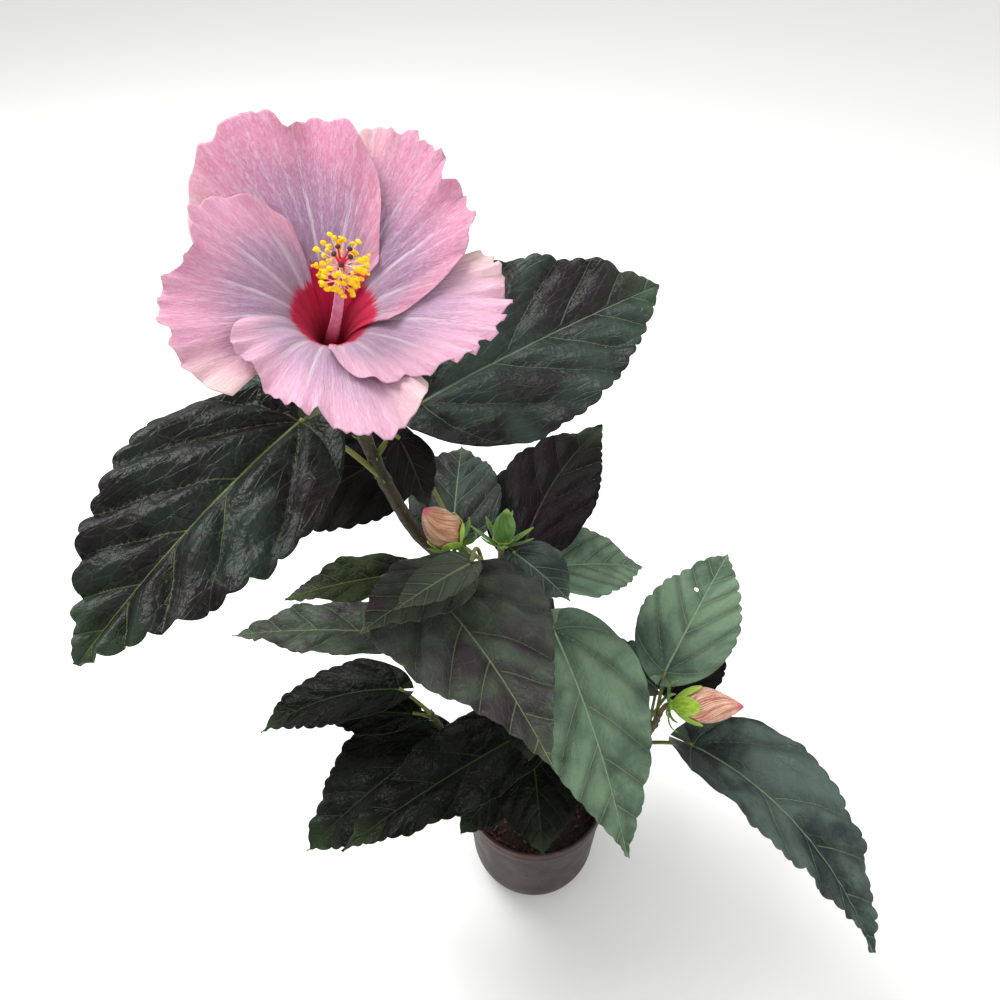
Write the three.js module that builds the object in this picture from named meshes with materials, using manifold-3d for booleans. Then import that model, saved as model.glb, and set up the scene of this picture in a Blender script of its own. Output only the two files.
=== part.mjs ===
// A young hibiscus shrub in a small nursery pot, with one open bloom and three buds.
// Millimetres, +Z up. The origin is the middle of the pot's flat underside.
// The shrub leans to -X, where its bloom is, and the bloom faces up and towards -Y.
// A heading is in degrees round Z (0 = +X, 90 = +Y) and a rise is in degrees above the level.
import * as THREE from "three";
import { mergeVertices } from "three/addons/utils/BufferGeometryUtils.js";
import Module from "manifold-3d";

const wasm = await Module();
wasm.setup();

// ---- driving dimensions -------------------------------------------------------------------
const GAP = 0.35; // kept between pieces that touch
const POT = {
  height: 100, rim: 55, band: 10, step: 1.2, flare: 3.5, foot: 30, heel: 34, wall: 1.8, floor: 2.5, sides: 24,
};
const DRAIN = { holes: 6, ring: 20, radius: 4 };
const SOIL = { level: 86, dome: 3 };

// Each stem: the points it grows through, its radius at its foot and at its tip, and its parent.
const STEMS = {
  main_stem: {
    points: [[0, 0, 90.5], [-7, 3, 145], [-16, 5, 215], [-24, 3, 290], [-28, 0, 353]],
    radius: [5.6, 4.4],
  },
  flower_branch: {
    points: [[-27, 0, 338], [-48, -3, 358], [-73, -4, 384], [-90, 2, 418], [-103, 9, 456], [-112, 12, 484]],
    radius: [4.3, 3.3],
    parent: "main_stem",
  },
  right_branch: {
    points: [[-7, 3, 142], [25, -2, 158], [56, -12, 180], [75, -19, 208], [80, -20, 234]],
    radius: [3.4, 2],
    parent: "main_stem",
  },
  left_branch: {
    points: [[-9, 3, 158], [-36, -5, 172], [-62, -13, 192], [-76, -10, 218]],
    radius: [3, 2],
    parent: "main_stem",
  },
};

// The bloom: the middle of its throat, the way it faces, its radius; its funnel, which is depth deep,
// opens out over flare and then rises by slope; and the step up between petals that overlap.
const BLOOM = {
  throat: [-110, 3, 510], axis: [0.177, -0.43, 0.885], radius: 88, claw: 6,
  depth: 30, flare: 9, slope: 0.25, step: 7, thickness: 1.2,
};
// Each petal: the way it points round the bloom, its reach as a share of the radius, and how much
// longer it is on its anticlockwise side.
const PETALS = {
  petal_top: [106, 1, 0.2],
  petal_upper_right: [40, 0.96, 0.3],
  petal_lower_right: [-30, 0.85, 0.28],
  petal_bottom: [-98, 0.82, 0.14],
  petal_left: [178, 0.84, 0.1],
};
const PETAL_HALF_ANGLE = 46;
const COLUMN = { length: 72, stalk: 2.6, head: 11, headFrom: 40, headTo: 68, lean: 0.07 };
const BLOOM_CALYX = { length: 24, foot: 5, mouth: 9 };

// Each bud: the stem it grows on and how far along, the foot of the bud, the way it points,
// its length and its radius.
const BUDS = {
  bud_peach: {
    on: "flower_branch", at: 0.15, foot: [-52, -18, 394],
    heading: 190, rise: 60, length: 33, radius: 9.8,
  },
  bud_green: {
    on: "main_stem", at: 1, foot: [-27, -3, 378],
    heading: 60, rise: 75, length: 24, radius: 6.5,
  },
  bud_right: {
    on: "right_branch", at: 1, foot: [87, -21, 245],
    heading: -12, rise: 14, length: 46, radius: 11.5,
  },
};

// Each leaf: the stem it is on and how far along, and the foot of its blade; then the blade's
// heading, rise, length and width. droop is how far the blade bends down along its length and
// sweep how far it turns aside; roll turns it about its midrib and fold lifts its two halves.
// taper is how soon the blade narrows to its tip, and arch is how far its stalk bows upwards.
const LEAVES = {
  leaf_upper_left: leaf(
    "flower_branch", 0.62, [-130, -5, 469], -118, 0, 156, 98,
    { droop: 34, roll: -14, sweep: -15, taper: 1 },
  ),
  leaf_upper_right: leaf(
    "flower_branch", 0.7, [-70, 15, 466], 25, 18, 148, 104,
    { droop: 8, roll: 26, taper: 0.95 },
  ),
  leaf_behind_stem: leaf(
    "flower_branch", 0.12, [-84, 50, 408], -150, -6, 95, 76,
    { droop: 24, roll: -14 },
  ),
  leaf_behind_bloom: leaf("flower_branch", 0.78, [-112, 24, 452], 150, 4, 88, 60, { droop: 10 }),
  leaf_under_bloom: leaf("flower_branch", 0.84, [-81, 3, 451], -58, -26, 40, 25, { droop: 40 }),
  leaf_back_upright: leaf("main_stem", 0.97, [-58, 28, 352], 88, 14, 90, 60, { droop: 24 }),
  leaf_back_dark: leaf("main_stem", 0.9, [-14, 26, 343], 74, 14, 124, 70, { droop: 10, sweep: -26 }),
  leaf_right_upper: leaf("main_stem", 0.93, [2, 26, 328], 12, 0, 68, 64, { droop: 24 }),
  leaf_top_small: leaf("main_stem", 0.93, [-20, -9, 378], -48, 5, 46, 36, { droop: 20 }),
  leaf_front_large: leaf(
    "main_stem", 0.86, [-66, -37, 375], -60, 23, 130, 92,
    { droop: 46, fold: 8, taper: 1.45 },
  ),
  leaf_front_small: leaf("flower_branch", 0.08, [-43, -46, 408], -137, 8, 50, 28, { droop: 12, arch: 0.45 }),
  leaf_front_left: leaf("flower_branch", 0.24, [-50, -34, 389], -131, 18, 72, 46, { droop: 16 }),
  leaf_left_narrow: leaf("main_stem", 0.84, [-86, 12, 338], -171, 2, 78, 38, { droop: 20 }),
  leaf_left_long: leaf("main_stem", 0.74, [-84, 0, 293], 178, 7, 121, 46, { droop: 20 }),
  leaf_right_large: leaf("main_stem", 0.88, [4, -27, 331], -69, -10, 138, 76, { droop: 48, taper: 1.3 }),
  leaf_inner_front: leaf("main_stem", 0.62, [-8, -16, 264], -91, -24, 50, 50, { droop: 20 }),
  leaf_low_left: leaf("left_branch", 1, [-98, 0, 234], 178, 0, 103, 50, { droop: 26, sweep: 28 }),
  leaf_low_left_small: leaf("left_branch", 0.95, [-89, -10, 219], 176, 2, 70, 40, { droop: 20 }),
  leaf_low_front_left: leaf("left_branch", 0.7, [-69, -16, 198], -147, -8, 120, 84, { droop: 30 }),
  leaf_low_front: leaf("main_stem", 0.42, [0, -18, 218], -151, -2, 156, 64, { droop: 22 }),
  leaf_over_rim_left: leaf("main_stem", 0.2, [-22, -14, 144], -140, -24, 56, 42, { droop: 20 }),
  leaf_over_rim_right: leaf("main_stem", 0.3, [-4, -18, 176], -84, -14, 66, 60, { droop: 30 }),
  leaf_right_inner: leaf("main_stem", 0.5, [22, -10, 226], -58, -10, 82, 52, { droop: 30 }),
  leaf_right_back: leaf("right_branch", 0.9, [84, 0, 253], 57, 24, 103, 68, { droop: 14 }),
  leaf_right_small: leaf("right_branch", 0.8, [80, -2, 238], 134, 4, 52, 44, { droop: 14 }),
  leaf_right_low_back: leaf("right_branch", 0.7, [92, 5, 224], 43, 4, 65, 44, { droop: 14 }),
  leaf_far_right: leaf(
    "right_branch", 0.6, [104, -30, 211], -35, 6, 170, 76,
    { droop: 50, sweep: -28, fold: 20, roll: -8, taper: 1.25 },
  ),
  leaf_rear_high: leaf("main_stem", 0.6, [-24, 32, 236], 100, -4, 118, 88, { droop: 26 }),
  leaf_rear_left: leaf("main_stem", 0.42, [-34, 30, 202], 118, -8, 100, 70, { droop: 30 }),
  leaf_rear_right: leaf("main_stem", 0.38, [26, 26, 190], 48, -6, 108, 80, { droop: 30 }),
  leaf_rear_low: leaf("main_stem", 0.26, [-6, 34, 160], 95, -10, 96, 76, { droop: 34 }),
};
const LEAF_STALK = 1.4; // radius
const BLADE_THICKNESS = 1.3;
const LEAST_HALF_WIDTH = 0.8; // of a blade, at its tip
const LOBE = 0.1; // how far the blade's shoulders reach back past its foot, as a share of its length

const COLOURS = {
  pot: "#7d6e74", soil: "#2b201d", stem: "#5b5330", blade: "#36433b", petal: "#dcaccb",
  column: "#e9b53a", calyx: "#7fa53b", bud: "#d3a189",
};

// ---- building blocks ----------------------------------------------------------------------
function leaf(on, at, foot, heading, rise, length, width, bend = {}) {
  const straight = { droop: 0, sweep: 0, roll: 0, fold: 5, taper: 1.1, arch: 0.12 };
  return { on, at, foot, heading, rise, length, width, ...straight, ...bend };
}

const radians = THREE.MathUtils.degToRad;
const point = (coordinates) => new THREE.Vector3(...coordinates);
const curve = (points) => new THREE.CatmullRomCurve3(points.map(point));

function direction(heading, rise) {
  const level = Math.cos(radians(rise));
  const turn = radians(heading);
  return point([level * Math.cos(turn), level * Math.sin(turn), Math.sin(radians(rise))]);
}

// A frame along a heading: ahead, side (level, to the left) and up, turned by roll about ahead.
function frameOf(heading, rise, roll = 0) {
  const ahead = direction(heading, rise);
  const side = direction(heading + 90, 0).applyAxisAngle(ahead, radians(roll));
  const up = new THREE.Vector3().crossVectors(ahead, side);
  return { ahead, side, up };
}

// The triangles that close one end of a ring, in strips from side to side.
function endTriangles(count) {
  const half = count / 2;
  const triangles = [[0, 1, count - 1]];
  for (let k = 1; k + 1 < half; k++) {
    triangles.push([k, k + 1, count - k - 1], [k, count - k - 1, count - k]);
  }
  triangles.push([half - 1, half, half + 1]);
  return triangles;
}

// A closed solid through rings of equally many points, each running side, up, other side, down.
function loft(rings) {
  const count = rings[0].length;
  const last = (rings.length - 1) * count;
  const faces = [];
  for (let start = 0; start < last; start += count) {
    for (let k = 0; k < count; k++) {
      const a = start + k;
      const b = start + ((k + 1) % count);
      faces.push(a, b, b + count, a, b + count, a + count);
    }
  }
  for (const [a, b, c] of endTriangles(count)) {
    faces.push(a, c, b, last + a, last + b, last + c);
  }
  const geometry = new THREE.BufferGeometry();
  const positions = rings.flat().flatMap((p) => p.toArray());
  geometry.setAttribute("position", new THREE.Float32BufferAttribute(positions, 3));
  geometry.setIndex(faces);
  return geometry;
}

// A ring round a centre: half as wide as width, half as thick as thickness, bent by camber.
function ringAt({ centre, ahead, side, up }, width, thickness, count, camber = () => 0, shift = () => 0) {
  const ring = [];
  for (let k = 0; k < count; k++) {
    const angle = (k / count) * 2 * Math.PI;
    const across = Math.cos(angle);
    ring.push(centre.clone()
      .addScaledVector(side, width * across)
      .addScaledVector(up, thickness * Math.sin(angle) + camber(across))
      .addScaledVector(ahead, shift(across)));
  }
  return ring;
}

function toSolid(geometry) {
  const bare = geometry.clone();
  bare.deleteAttribute("normal");
  bare.deleteAttribute("uv");
  const merged = mergeVertices(bare, 1e-3);
  return new wasm.Manifold(new wasm.Mesh({
    numProp: 3,
    vertProperties: new Float32Array(merged.attributes.position.array),
    triVerts: new Uint32Array(merged.index.array),
  }));
}

function toGeometry(solid) {
  const { vertProperties, triVerts } = solid.getMesh();
  const geometry = new THREE.BufferGeometry();
  geometry.setAttribute("position", new THREE.Float32BufferAttribute(vertProperties, 3));
  geometry.setIndex([...triVerts]);
  return geometry;
}

const cut = (geometry, tool) => toGeometry(toSolid(geometry).subtract(toSolid(tool)));
const join = (first, second) => toGeometry(toSolid(first).add(toSolid(second)));

// A solid of revolution whose profile runs in [radius, height] pairs up from a foot along an axis.
function turned(profile, foot, axis, sides) {
  const geometry = new THREE.LatheGeometry(profile.map(([r, h]) => new THREE.Vector2(r, h)), sides);
  const turn = new THREE.Quaternion().setFromUnitVectors(new THREE.Vector3(0, 1, 0), axis.clone().normalize());
  return geometry.applyQuaternion(turn).translate(foot.x, foot.y, foot.z);
}

// ---- scene graph --------------------------------------------------------------------------
const group = new THREE.Group();

function add(name, geometry, colour, roughness = 0.6) {
  geometry.computeVertexNormals();
  const material = new THREE.MeshStandardMaterial({ color: colour, roughness, metalness: 0 });
  const mesh = new THREE.Mesh(geometry, material);
  mesh.name = name;
  group.add(mesh);
}

// ---- pot and soil -------------------------------------------------------------------------
// The wall's outer radius: it curves in quickly round the heel and is nearly upright above it.
function outerRadius(z) {
  const { height, rim, band, step, flare, foot, heel } = POT;
  const top = rim - step;
  const knee = top - flare;
  if (z < heel) return foot + (knee - foot) * Math.sqrt(1 - (1 - z / heel) ** 2);
  return knee + ((top - knee) * (z - heel)) / (height - band - heel);
}

const innerRadius = (z) => outerRadius(z) - POT.wall;

function pot() {
  const { height, rim, band, heel, wall, floor, sides } = POT;
  const heelSteps = [0.12, 0.4, 1];
  const profile = [
    [0, 0],
    [POT.foot, 0],
    ...heelSteps.map((share) => [outerRadius(share * heel), share * heel]),
    [outerRadius(height - band), height - band],
    [rim, height - band],
    [rim, height - 1],
    [rim - 0.6, height],
    [innerRadius(height - band), height],
    [innerRadius(heel), heel],
    [innerRadius(heel * 0.35), heel * 0.35],
    [POT.foot, floor],
    [0, floor],
  ];
  const up = new THREE.Vector3(0, 0, 1);
  let solid = toSolid(turned(profile, new THREE.Vector3(), up, sides));
  for (let k = 0; k < DRAIN.holes; k++) {
    const hole = new THREE.CylinderGeometry(DRAIN.radius, DRAIN.radius, 4 * floor, 8);
    const angle = ((k + 0.5) / DRAIN.holes) * 2 * Math.PI;
    hole.rotateX(Math.PI / 2).translate(DRAIN.ring * Math.cos(angle), DRAIN.ring * Math.sin(angle), 0);
    solid = solid.subtract(toSolid(hole));
  }
  return toGeometry(solid);
}

function soil() {
  const { heel, floor } = POT;
  const clear = GAP + 0.3;
  const inside = (z) => [innerRadius(z) - clear, z + clear];
  const profile = [
    [0, floor + GAP],
    [POT.foot - clear, floor + GAP],
    inside(heel * 0.35),
    inside(heel),
    inside(SOIL.level - clear),
    [innerRadius(SOIL.level) * 0.6, SOIL.level + SOIL.dome * 0.8],
    [0, SOIL.level + SOIL.dome],
  ];
  return turned(profile, new THREE.Vector3(), new THREE.Vector3(0, 0, 1), POT.sides);
}

add("pot", pot(), COLOURS.pot, 0.55);
add("soil", soil(), COLOURS.soil, 0.95);

// ---- stems --------------------------------------------------------------------------------
const STEM_SIDES = 8;

function limb(points, [footRadius, tipRadius], extra = 0) {
  const path = curve(points);
  const steps = 2 * (points.length - 1);
  const { tangents, normals, binormals } = path.computeFrenetFrames(steps);
  const rings = [];
  for (let step = 0; step <= steps; step++) {
    const share = step / steps;
    const radius = footRadius + (tipRadius - footRadius) * share + extra;
    const frame = {
      centre: path.getPointAt(share), ahead: tangents[step], side: normals[step], up: binormals[step],
    };
    rings.push(ringAt(frame, radius, radius, STEM_SIDES));
  }
  return loft(rings);
}

const clearOf = (name) => limb(STEMS[name].points, STEMS[name].radius, GAP);

for (const [name, { points, radius, parent }] of Object.entries(STEMS)) {
  const solid = limb(points, radius);
  add(name, parent ? cut(solid, clearOf(parent)) : solid, COLOURS.stem, 0.7);
}

// ---- leaves -------------------------------------------------------------------------------
const BLADE_ROWS = [0.04, 0.15, 0.31, 0.48, 0.66, 0.84, 1];
const SHOULDER = 0.6; // how soon a blade widens from its foot

// The half width of a blade at a share of its length, as a share of its greatest half width.
function bladeShape(share, taper) {
  const outline = (t) => t ** SHOULDER * (1 - t) ** taper;
  return outline(share) / outline(SHOULDER / (SHOULDER + taper));
}

// The frame of the midrib at each share of its length, bending down and aside as it goes.
function midrib(spec, shares) {
  const steps = 40;
  const frames = [];
  const centre = point(spec.foot);
  let walked = 0;
  for (const share of shares) {
    for (; walked < Math.round(share * steps); walked++) {
      const middle = (walked + 0.5) / steps;
      const ahead = direction(spec.heading + spec.sweep * middle, spec.rise - spec.droop * middle);
      centre.addScaledVector(ahead, spec.length / steps);
    }
    const frame = frameOf(spec.heading + spec.sweep * share, spec.rise - spec.droop * share, spec.roll);
    frames.push({ centre: centre.clone(), ...frame });
  }
  return frames;
}

// The frames of the leaf stalk, from its stem up to the foot of the blade.
function stalkFrames(start, bladeFrame, arch, count) {
  const end = bladeFrame.centre;
  const middle = start.clone().lerp(end, 0.5);
  middle.z += start.distanceTo(end) * arch;
  const path = new THREE.QuadraticBezierCurve3(start, middle, end);
  const frames = [];
  let { ahead, side } = bladeFrame;
  for (let step = count - 1; step >= 0; step--) {
    const share = step / count;
    const next = path.getTangent(share);
    side = side.clone().applyQuaternion(new THREE.Quaternion().setFromUnitVectors(ahead, next));
    ahead = next;
    const up = new THREE.Vector3().crossVectors(ahead, side);
    frames.unshift({ centre: path.getPoint(share), ahead, side, up });
  }
  return frames;
}

function leafSolid(spec) {
  const stem = STEMS[spec.on];
  const start = curve(stem.points).getPointAt(spec.at);
  const [bladeFoot] = midrib(spec, [0]);
  const rings = [...stalkFrames(start, bladeFoot, spec.arch, spec.arch > 0.2 ? 4 : 2), bladeFoot]
    .map((frame) => ringAt(frame, LEAF_STALK, LEAF_STALK, 8));
  midrib(spec, BLADE_ROWS).forEach((frame, row) => {
    const share = BLADE_ROWS[row];
    const half = Math.max((bladeShape(share, spec.taper) * spec.width) / 2, LEAST_HALF_WIDTH);
    const lift = Math.tan(radians(spec.fold)) * half;
    const back = -LOBE * spec.length * (1 - share) ** 4;
    const shoulder = (across) => back * Math.abs(across) ** 1.5;
    const thickness = (BLADE_THICKNESS / 2) * (1 - 0.4 * share);
    rings.push(ringAt(frame, half, thickness, 8, (across) => lift * Math.abs(across), shoulder));
  });
  return cut(loft(rings), clearOf(spec.on));
}

for (const [name, spec] of Object.entries(LEAVES)) {
  add(name, leafSolid(spec), COLOURS.blade, 0.45);
}

// ---- bloom --------------------------------------------------------------------------------
const bloomAxis = point(BLOOM.axis).normalize();
const throat = point(BLOOM.throat);
const bloomRight = new THREE.Vector3(1, 0, 0).addScaledVector(bloomAxis, -bloomAxis.x).normalize();
const bloomUp = new THREE.Vector3().crossVectors(bloomAxis, bloomRight);
const PETAL_ROWS = [0, 0.07, 0.15, 0.25, 0.4, 0.62, 0.85, 1];
const PETAL_POINTS = 12;

function funnelHeight(radius) {
  const beyond = radius - BLOOM.claw;
  return BLOOM.depth * (1 - Math.exp(-beyond / BLOOM.flare)) + BLOOM.slope * beyond;
}

// A petal is a curved fan: it widens from its claw, and rises and flattens as the funnel does.
function petalSolid([heading, reach, lopside]) {
  const rings = PETAL_ROWS.map((share) => {
    const spread = radians(PETAL_HALF_ANGLE) * (0.66 + 0.34 * Math.sin(Math.min(share * 1.6, 1) * Math.PI / 2));
    const ring = [];
    for (let k = 0; k < PETAL_POINTS; k++) {
      const angle = (k / PETAL_POINTS) * 2 * Math.PI;
      const across = Math.cos(angle);
      const margin = BLOOM.radius * reach * (1 + lopside * across - 0.28 * Math.abs(across) ** 2.5);
      const radius = BLOOM.claw + (margin - BLOOM.claw) * share;
      const turn = radians(heading) + spread * across;
      const overlap = BLOOM.step * (radius / BLOOM.radius) * (-spread * across / radians(72));
      const height = funnelHeight(radius) + overlap + (BLOOM.thickness / 2) * Math.sin(angle);
      ring.push(throat.clone()
        .addScaledVector(bloomRight, radius * Math.cos(turn))
        .addScaledVector(bloomUp, radius * Math.sin(turn))
        .addScaledVector(bloomAxis, height));
    }
    return ring;
  });
  return loft(rings);
}

for (const [name, spec] of Object.entries(PETALS)) {
  add(name, petalSolid(spec), COLOURS.petal, 0.5);
}

function columnSolid() {
  const { length, stalk, head, headFrom, headTo, lean } = COLUMN;
  const profile = [
    [0, 1], [stalk + 0.6, 1], [stalk, headFrom - 5], [head * 0.7, headFrom], [head, headFrom + 8],
    [head, headTo - 9], [head * 0.6, headTo], [2, headTo + 1], [1.6, length - 1], [0, length],
  ];
  return turned(profile, throat, bloomAxis.clone().addScaledVector(bloomRight, lean), 10);
}

function bloomCalyx() {
  const { length, foot, mouth } = BLOOM_CALYX;
  const bottom = -length - 1.5;
  const shoulder = bottom + length * 0.35;
  const profile = [[0, bottom], [foot, bottom], [mouth, shoulder], [mouth + 1.5, -2.5], [0, -2.5]];
  return turned(profile, throat, bloomAxis, 12);
}

add("stamens", columnSolid(), COLOURS.column, 0.6);
add("bloom_calyx", bloomCalyx(), COLOURS.calyx, 0.6);

// ---- buds ---------------------------------------------------------------------------------
const budRadius = (share, radius) => radius * Math.sin(Math.PI * share ** 0.8) ** 0.8;
const BUD_SHARES = [0.08, 0.2, 0.35, 0.5, 0.65, 0.8, 0.92];
const CUP_SHARES = [0.08, 0.2, 0.35];
const BUD_SIDES = 10;

function budSolid({ length, radius }, foot, axis) {
  const body = BUD_SHARES.map((share) => [budRadius(share, radius), share * length]);
  return turned([[0, 0], ...body, [0, length]], foot, axis, BUD_SIDES);
}

function cupSolid({ length, radius }, foot, axis) {
  const inner = CUP_SHARES.map((share) => [budRadius(share, radius) + GAP, share * length]);
  const outer = inner.map(([r, h]) => [r + 1.2, h]);
  const profile = [[0, -2.5], [radius * 0.4, -2.5], ...outer, ...inner.reverse(), [0, -GAP]];
  return turned(profile, foot, axis, BUD_SIDES);
}

for (const [name, spec] of Object.entries(BUDS)) {
  const foot = point(spec.foot);
  const axis = direction(spec.heading, spec.rise);
  const start = curve(STEMS[spec.on].points).getPointAt(spec.at);
  const end = foot.clone().addScaledVector(axis, -1.5);
  const middle = start.clone().lerp(end, 0.5).add(new THREE.Vector3(0, 0, 3));
  const stalk = limb([start.toArray(), middle.toArray(), end.toArray()], [1.9, 1.7]);
  const cup = join(cupSolid(spec, foot, axis), stalk);
  add(name, budSolid(spec, foot, axis), COLOURS.bud, 0.6);
  add(name.replace("bud", "calyx"), cut(cup, clearOf(spec.on)), COLOURS.calyx, 0.6);
}

export default group;
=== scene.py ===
# A young potted hibiscus: the visual model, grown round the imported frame.
# Sizes are in millimetres in the tables and turned to metres when a mesh is made.
# A heading is in degrees round Z (0 = +X, 90 = +Y) and a rise is in degrees above the level.
import math

import bpy
import numpy as np
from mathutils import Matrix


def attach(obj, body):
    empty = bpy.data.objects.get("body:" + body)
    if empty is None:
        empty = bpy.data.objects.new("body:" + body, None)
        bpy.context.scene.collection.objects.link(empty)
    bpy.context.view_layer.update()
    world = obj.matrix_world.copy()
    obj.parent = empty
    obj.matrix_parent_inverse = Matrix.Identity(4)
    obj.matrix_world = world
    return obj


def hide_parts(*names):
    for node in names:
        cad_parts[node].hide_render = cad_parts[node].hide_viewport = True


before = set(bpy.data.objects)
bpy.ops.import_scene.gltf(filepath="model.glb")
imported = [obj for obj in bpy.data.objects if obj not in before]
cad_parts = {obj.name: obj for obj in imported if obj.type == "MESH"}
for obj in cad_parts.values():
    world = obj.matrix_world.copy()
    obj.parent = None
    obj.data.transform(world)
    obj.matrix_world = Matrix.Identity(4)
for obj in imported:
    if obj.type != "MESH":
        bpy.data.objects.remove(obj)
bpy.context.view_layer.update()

MM = 0.001

# ---- camera ----------------------------------------------------------------------------------
CAMERA = {"place": (-28, -361, 735), "pitch": 42, "lens": 31.32}

camera = bpy.data.objects.new("camera", bpy.data.cameras.new("camera"))
camera.data.sensor_width = 36
camera.data.lens = CAMERA["lens"]
camera.data.clip_start = 0.01
camera.location = [value * MM for value in CAMERA["place"]]
camera.rotation_euler = (math.radians(90 - CAMERA["pitch"]), 0, 0)
bpy.context.scene.collection.objects.link(camera)
bpy.context.scene.camera = camera
bpy.context.scene.view_settings.view_transform = "Standard"

# ---- the plant's growth ----------------------------------------------------------------------
POT = {"height": 100, "rim": 55, "band": 10, "step": 1.2, "flare": 3.5, "foot": 30, "heel": 34,
       "wall": 1.8, "floor": 2.5}
DRAIN = {"holes": 6, "ring": 20, "radius": 4}
SOIL = {"level": 86, "dome": 3}
BITS = {"all": 620, "on_soil": 520}

# Each stem: the points it grows through, and its radius at its foot and at its tip.
STEMS = {
    "main_stem": ([(0, 0, 90.5), (-7, 3, 145), (-16, 5, 215), (-24, 3, 290), (-28, 0, 353)],
                  (5.6, 4.4)),
    "flower_branch": ([(-27, 0, 338), (-48, -3, 358), (-73, -4, 384), (-90, 2, 418), (-103, 9, 456),
                       (-112, 12, 484)], (4.3, 3.3)),
    "right_branch": ([(-7, 3, 142), (25, -2, 158), (56, -12, 180), (75, -19, 208), (80, -20, 234)],
                     (3.4, 2)),
    "left_branch": ([(-9, 3, 158), (-36, -5, 172), (-62, -13, 192), (-76, -10, 218)], (3, 2)),
}

BLOOM = {"throat": (-110, 3, 510), "axis": (0.177, -0.43, 0.885), "radius": 88, "claw": 6, "root": 2.8,
         "depth": 30, "flare": 9, "slope": 0.25, "step": 7, "half_angle": 58}
COLUMN = {"stalk": 2.6, "style_top": 65, "head_from": 48, "head_to": 63, "lean": 0.07}

# Each bud: its stem and how far along, its foot, heading, rise, length and radius.
BUDS = {
    "peach": ("flower_branch", 0.15, (-52, -18, 394), 190, 60, 33, 9.8),
    "green": ("main_stem", 1, (-27, -3, 378), 60, 75, 24, 6.5),
    "right": ("right_branch", 1, (87, -21, 245), -12, 14, 46, 11.5),
}


def leaf(stem, at, foot, heading, rise, length, width, finish, **bend):
    """One leaf: its stem and how far along, the foot of its blade, then how the blade grows.

    Angles are in degrees. quilt, ruffle and teeth are heights and tooth is a spacing, in
    millimetres. A hole is its place along the blade, its place aside and its radius.
    """
    straight = {"droop": 0, "sweep": 0, "roll": 0, "fold": 5, "taper": 1.1, "arch": 0.12,
                "quilt": 2.2, "ruffle": 2.4, "teeth": 1.2, "tooth": 9, "hole": None}
    grown = {"stem": stem, "at": at, "foot": np.array(foot, float), "heading": heading, "rise": rise,
             "length": length, "width": width, "finish": finish}
    return {**straight, **grown, **bend}


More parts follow.
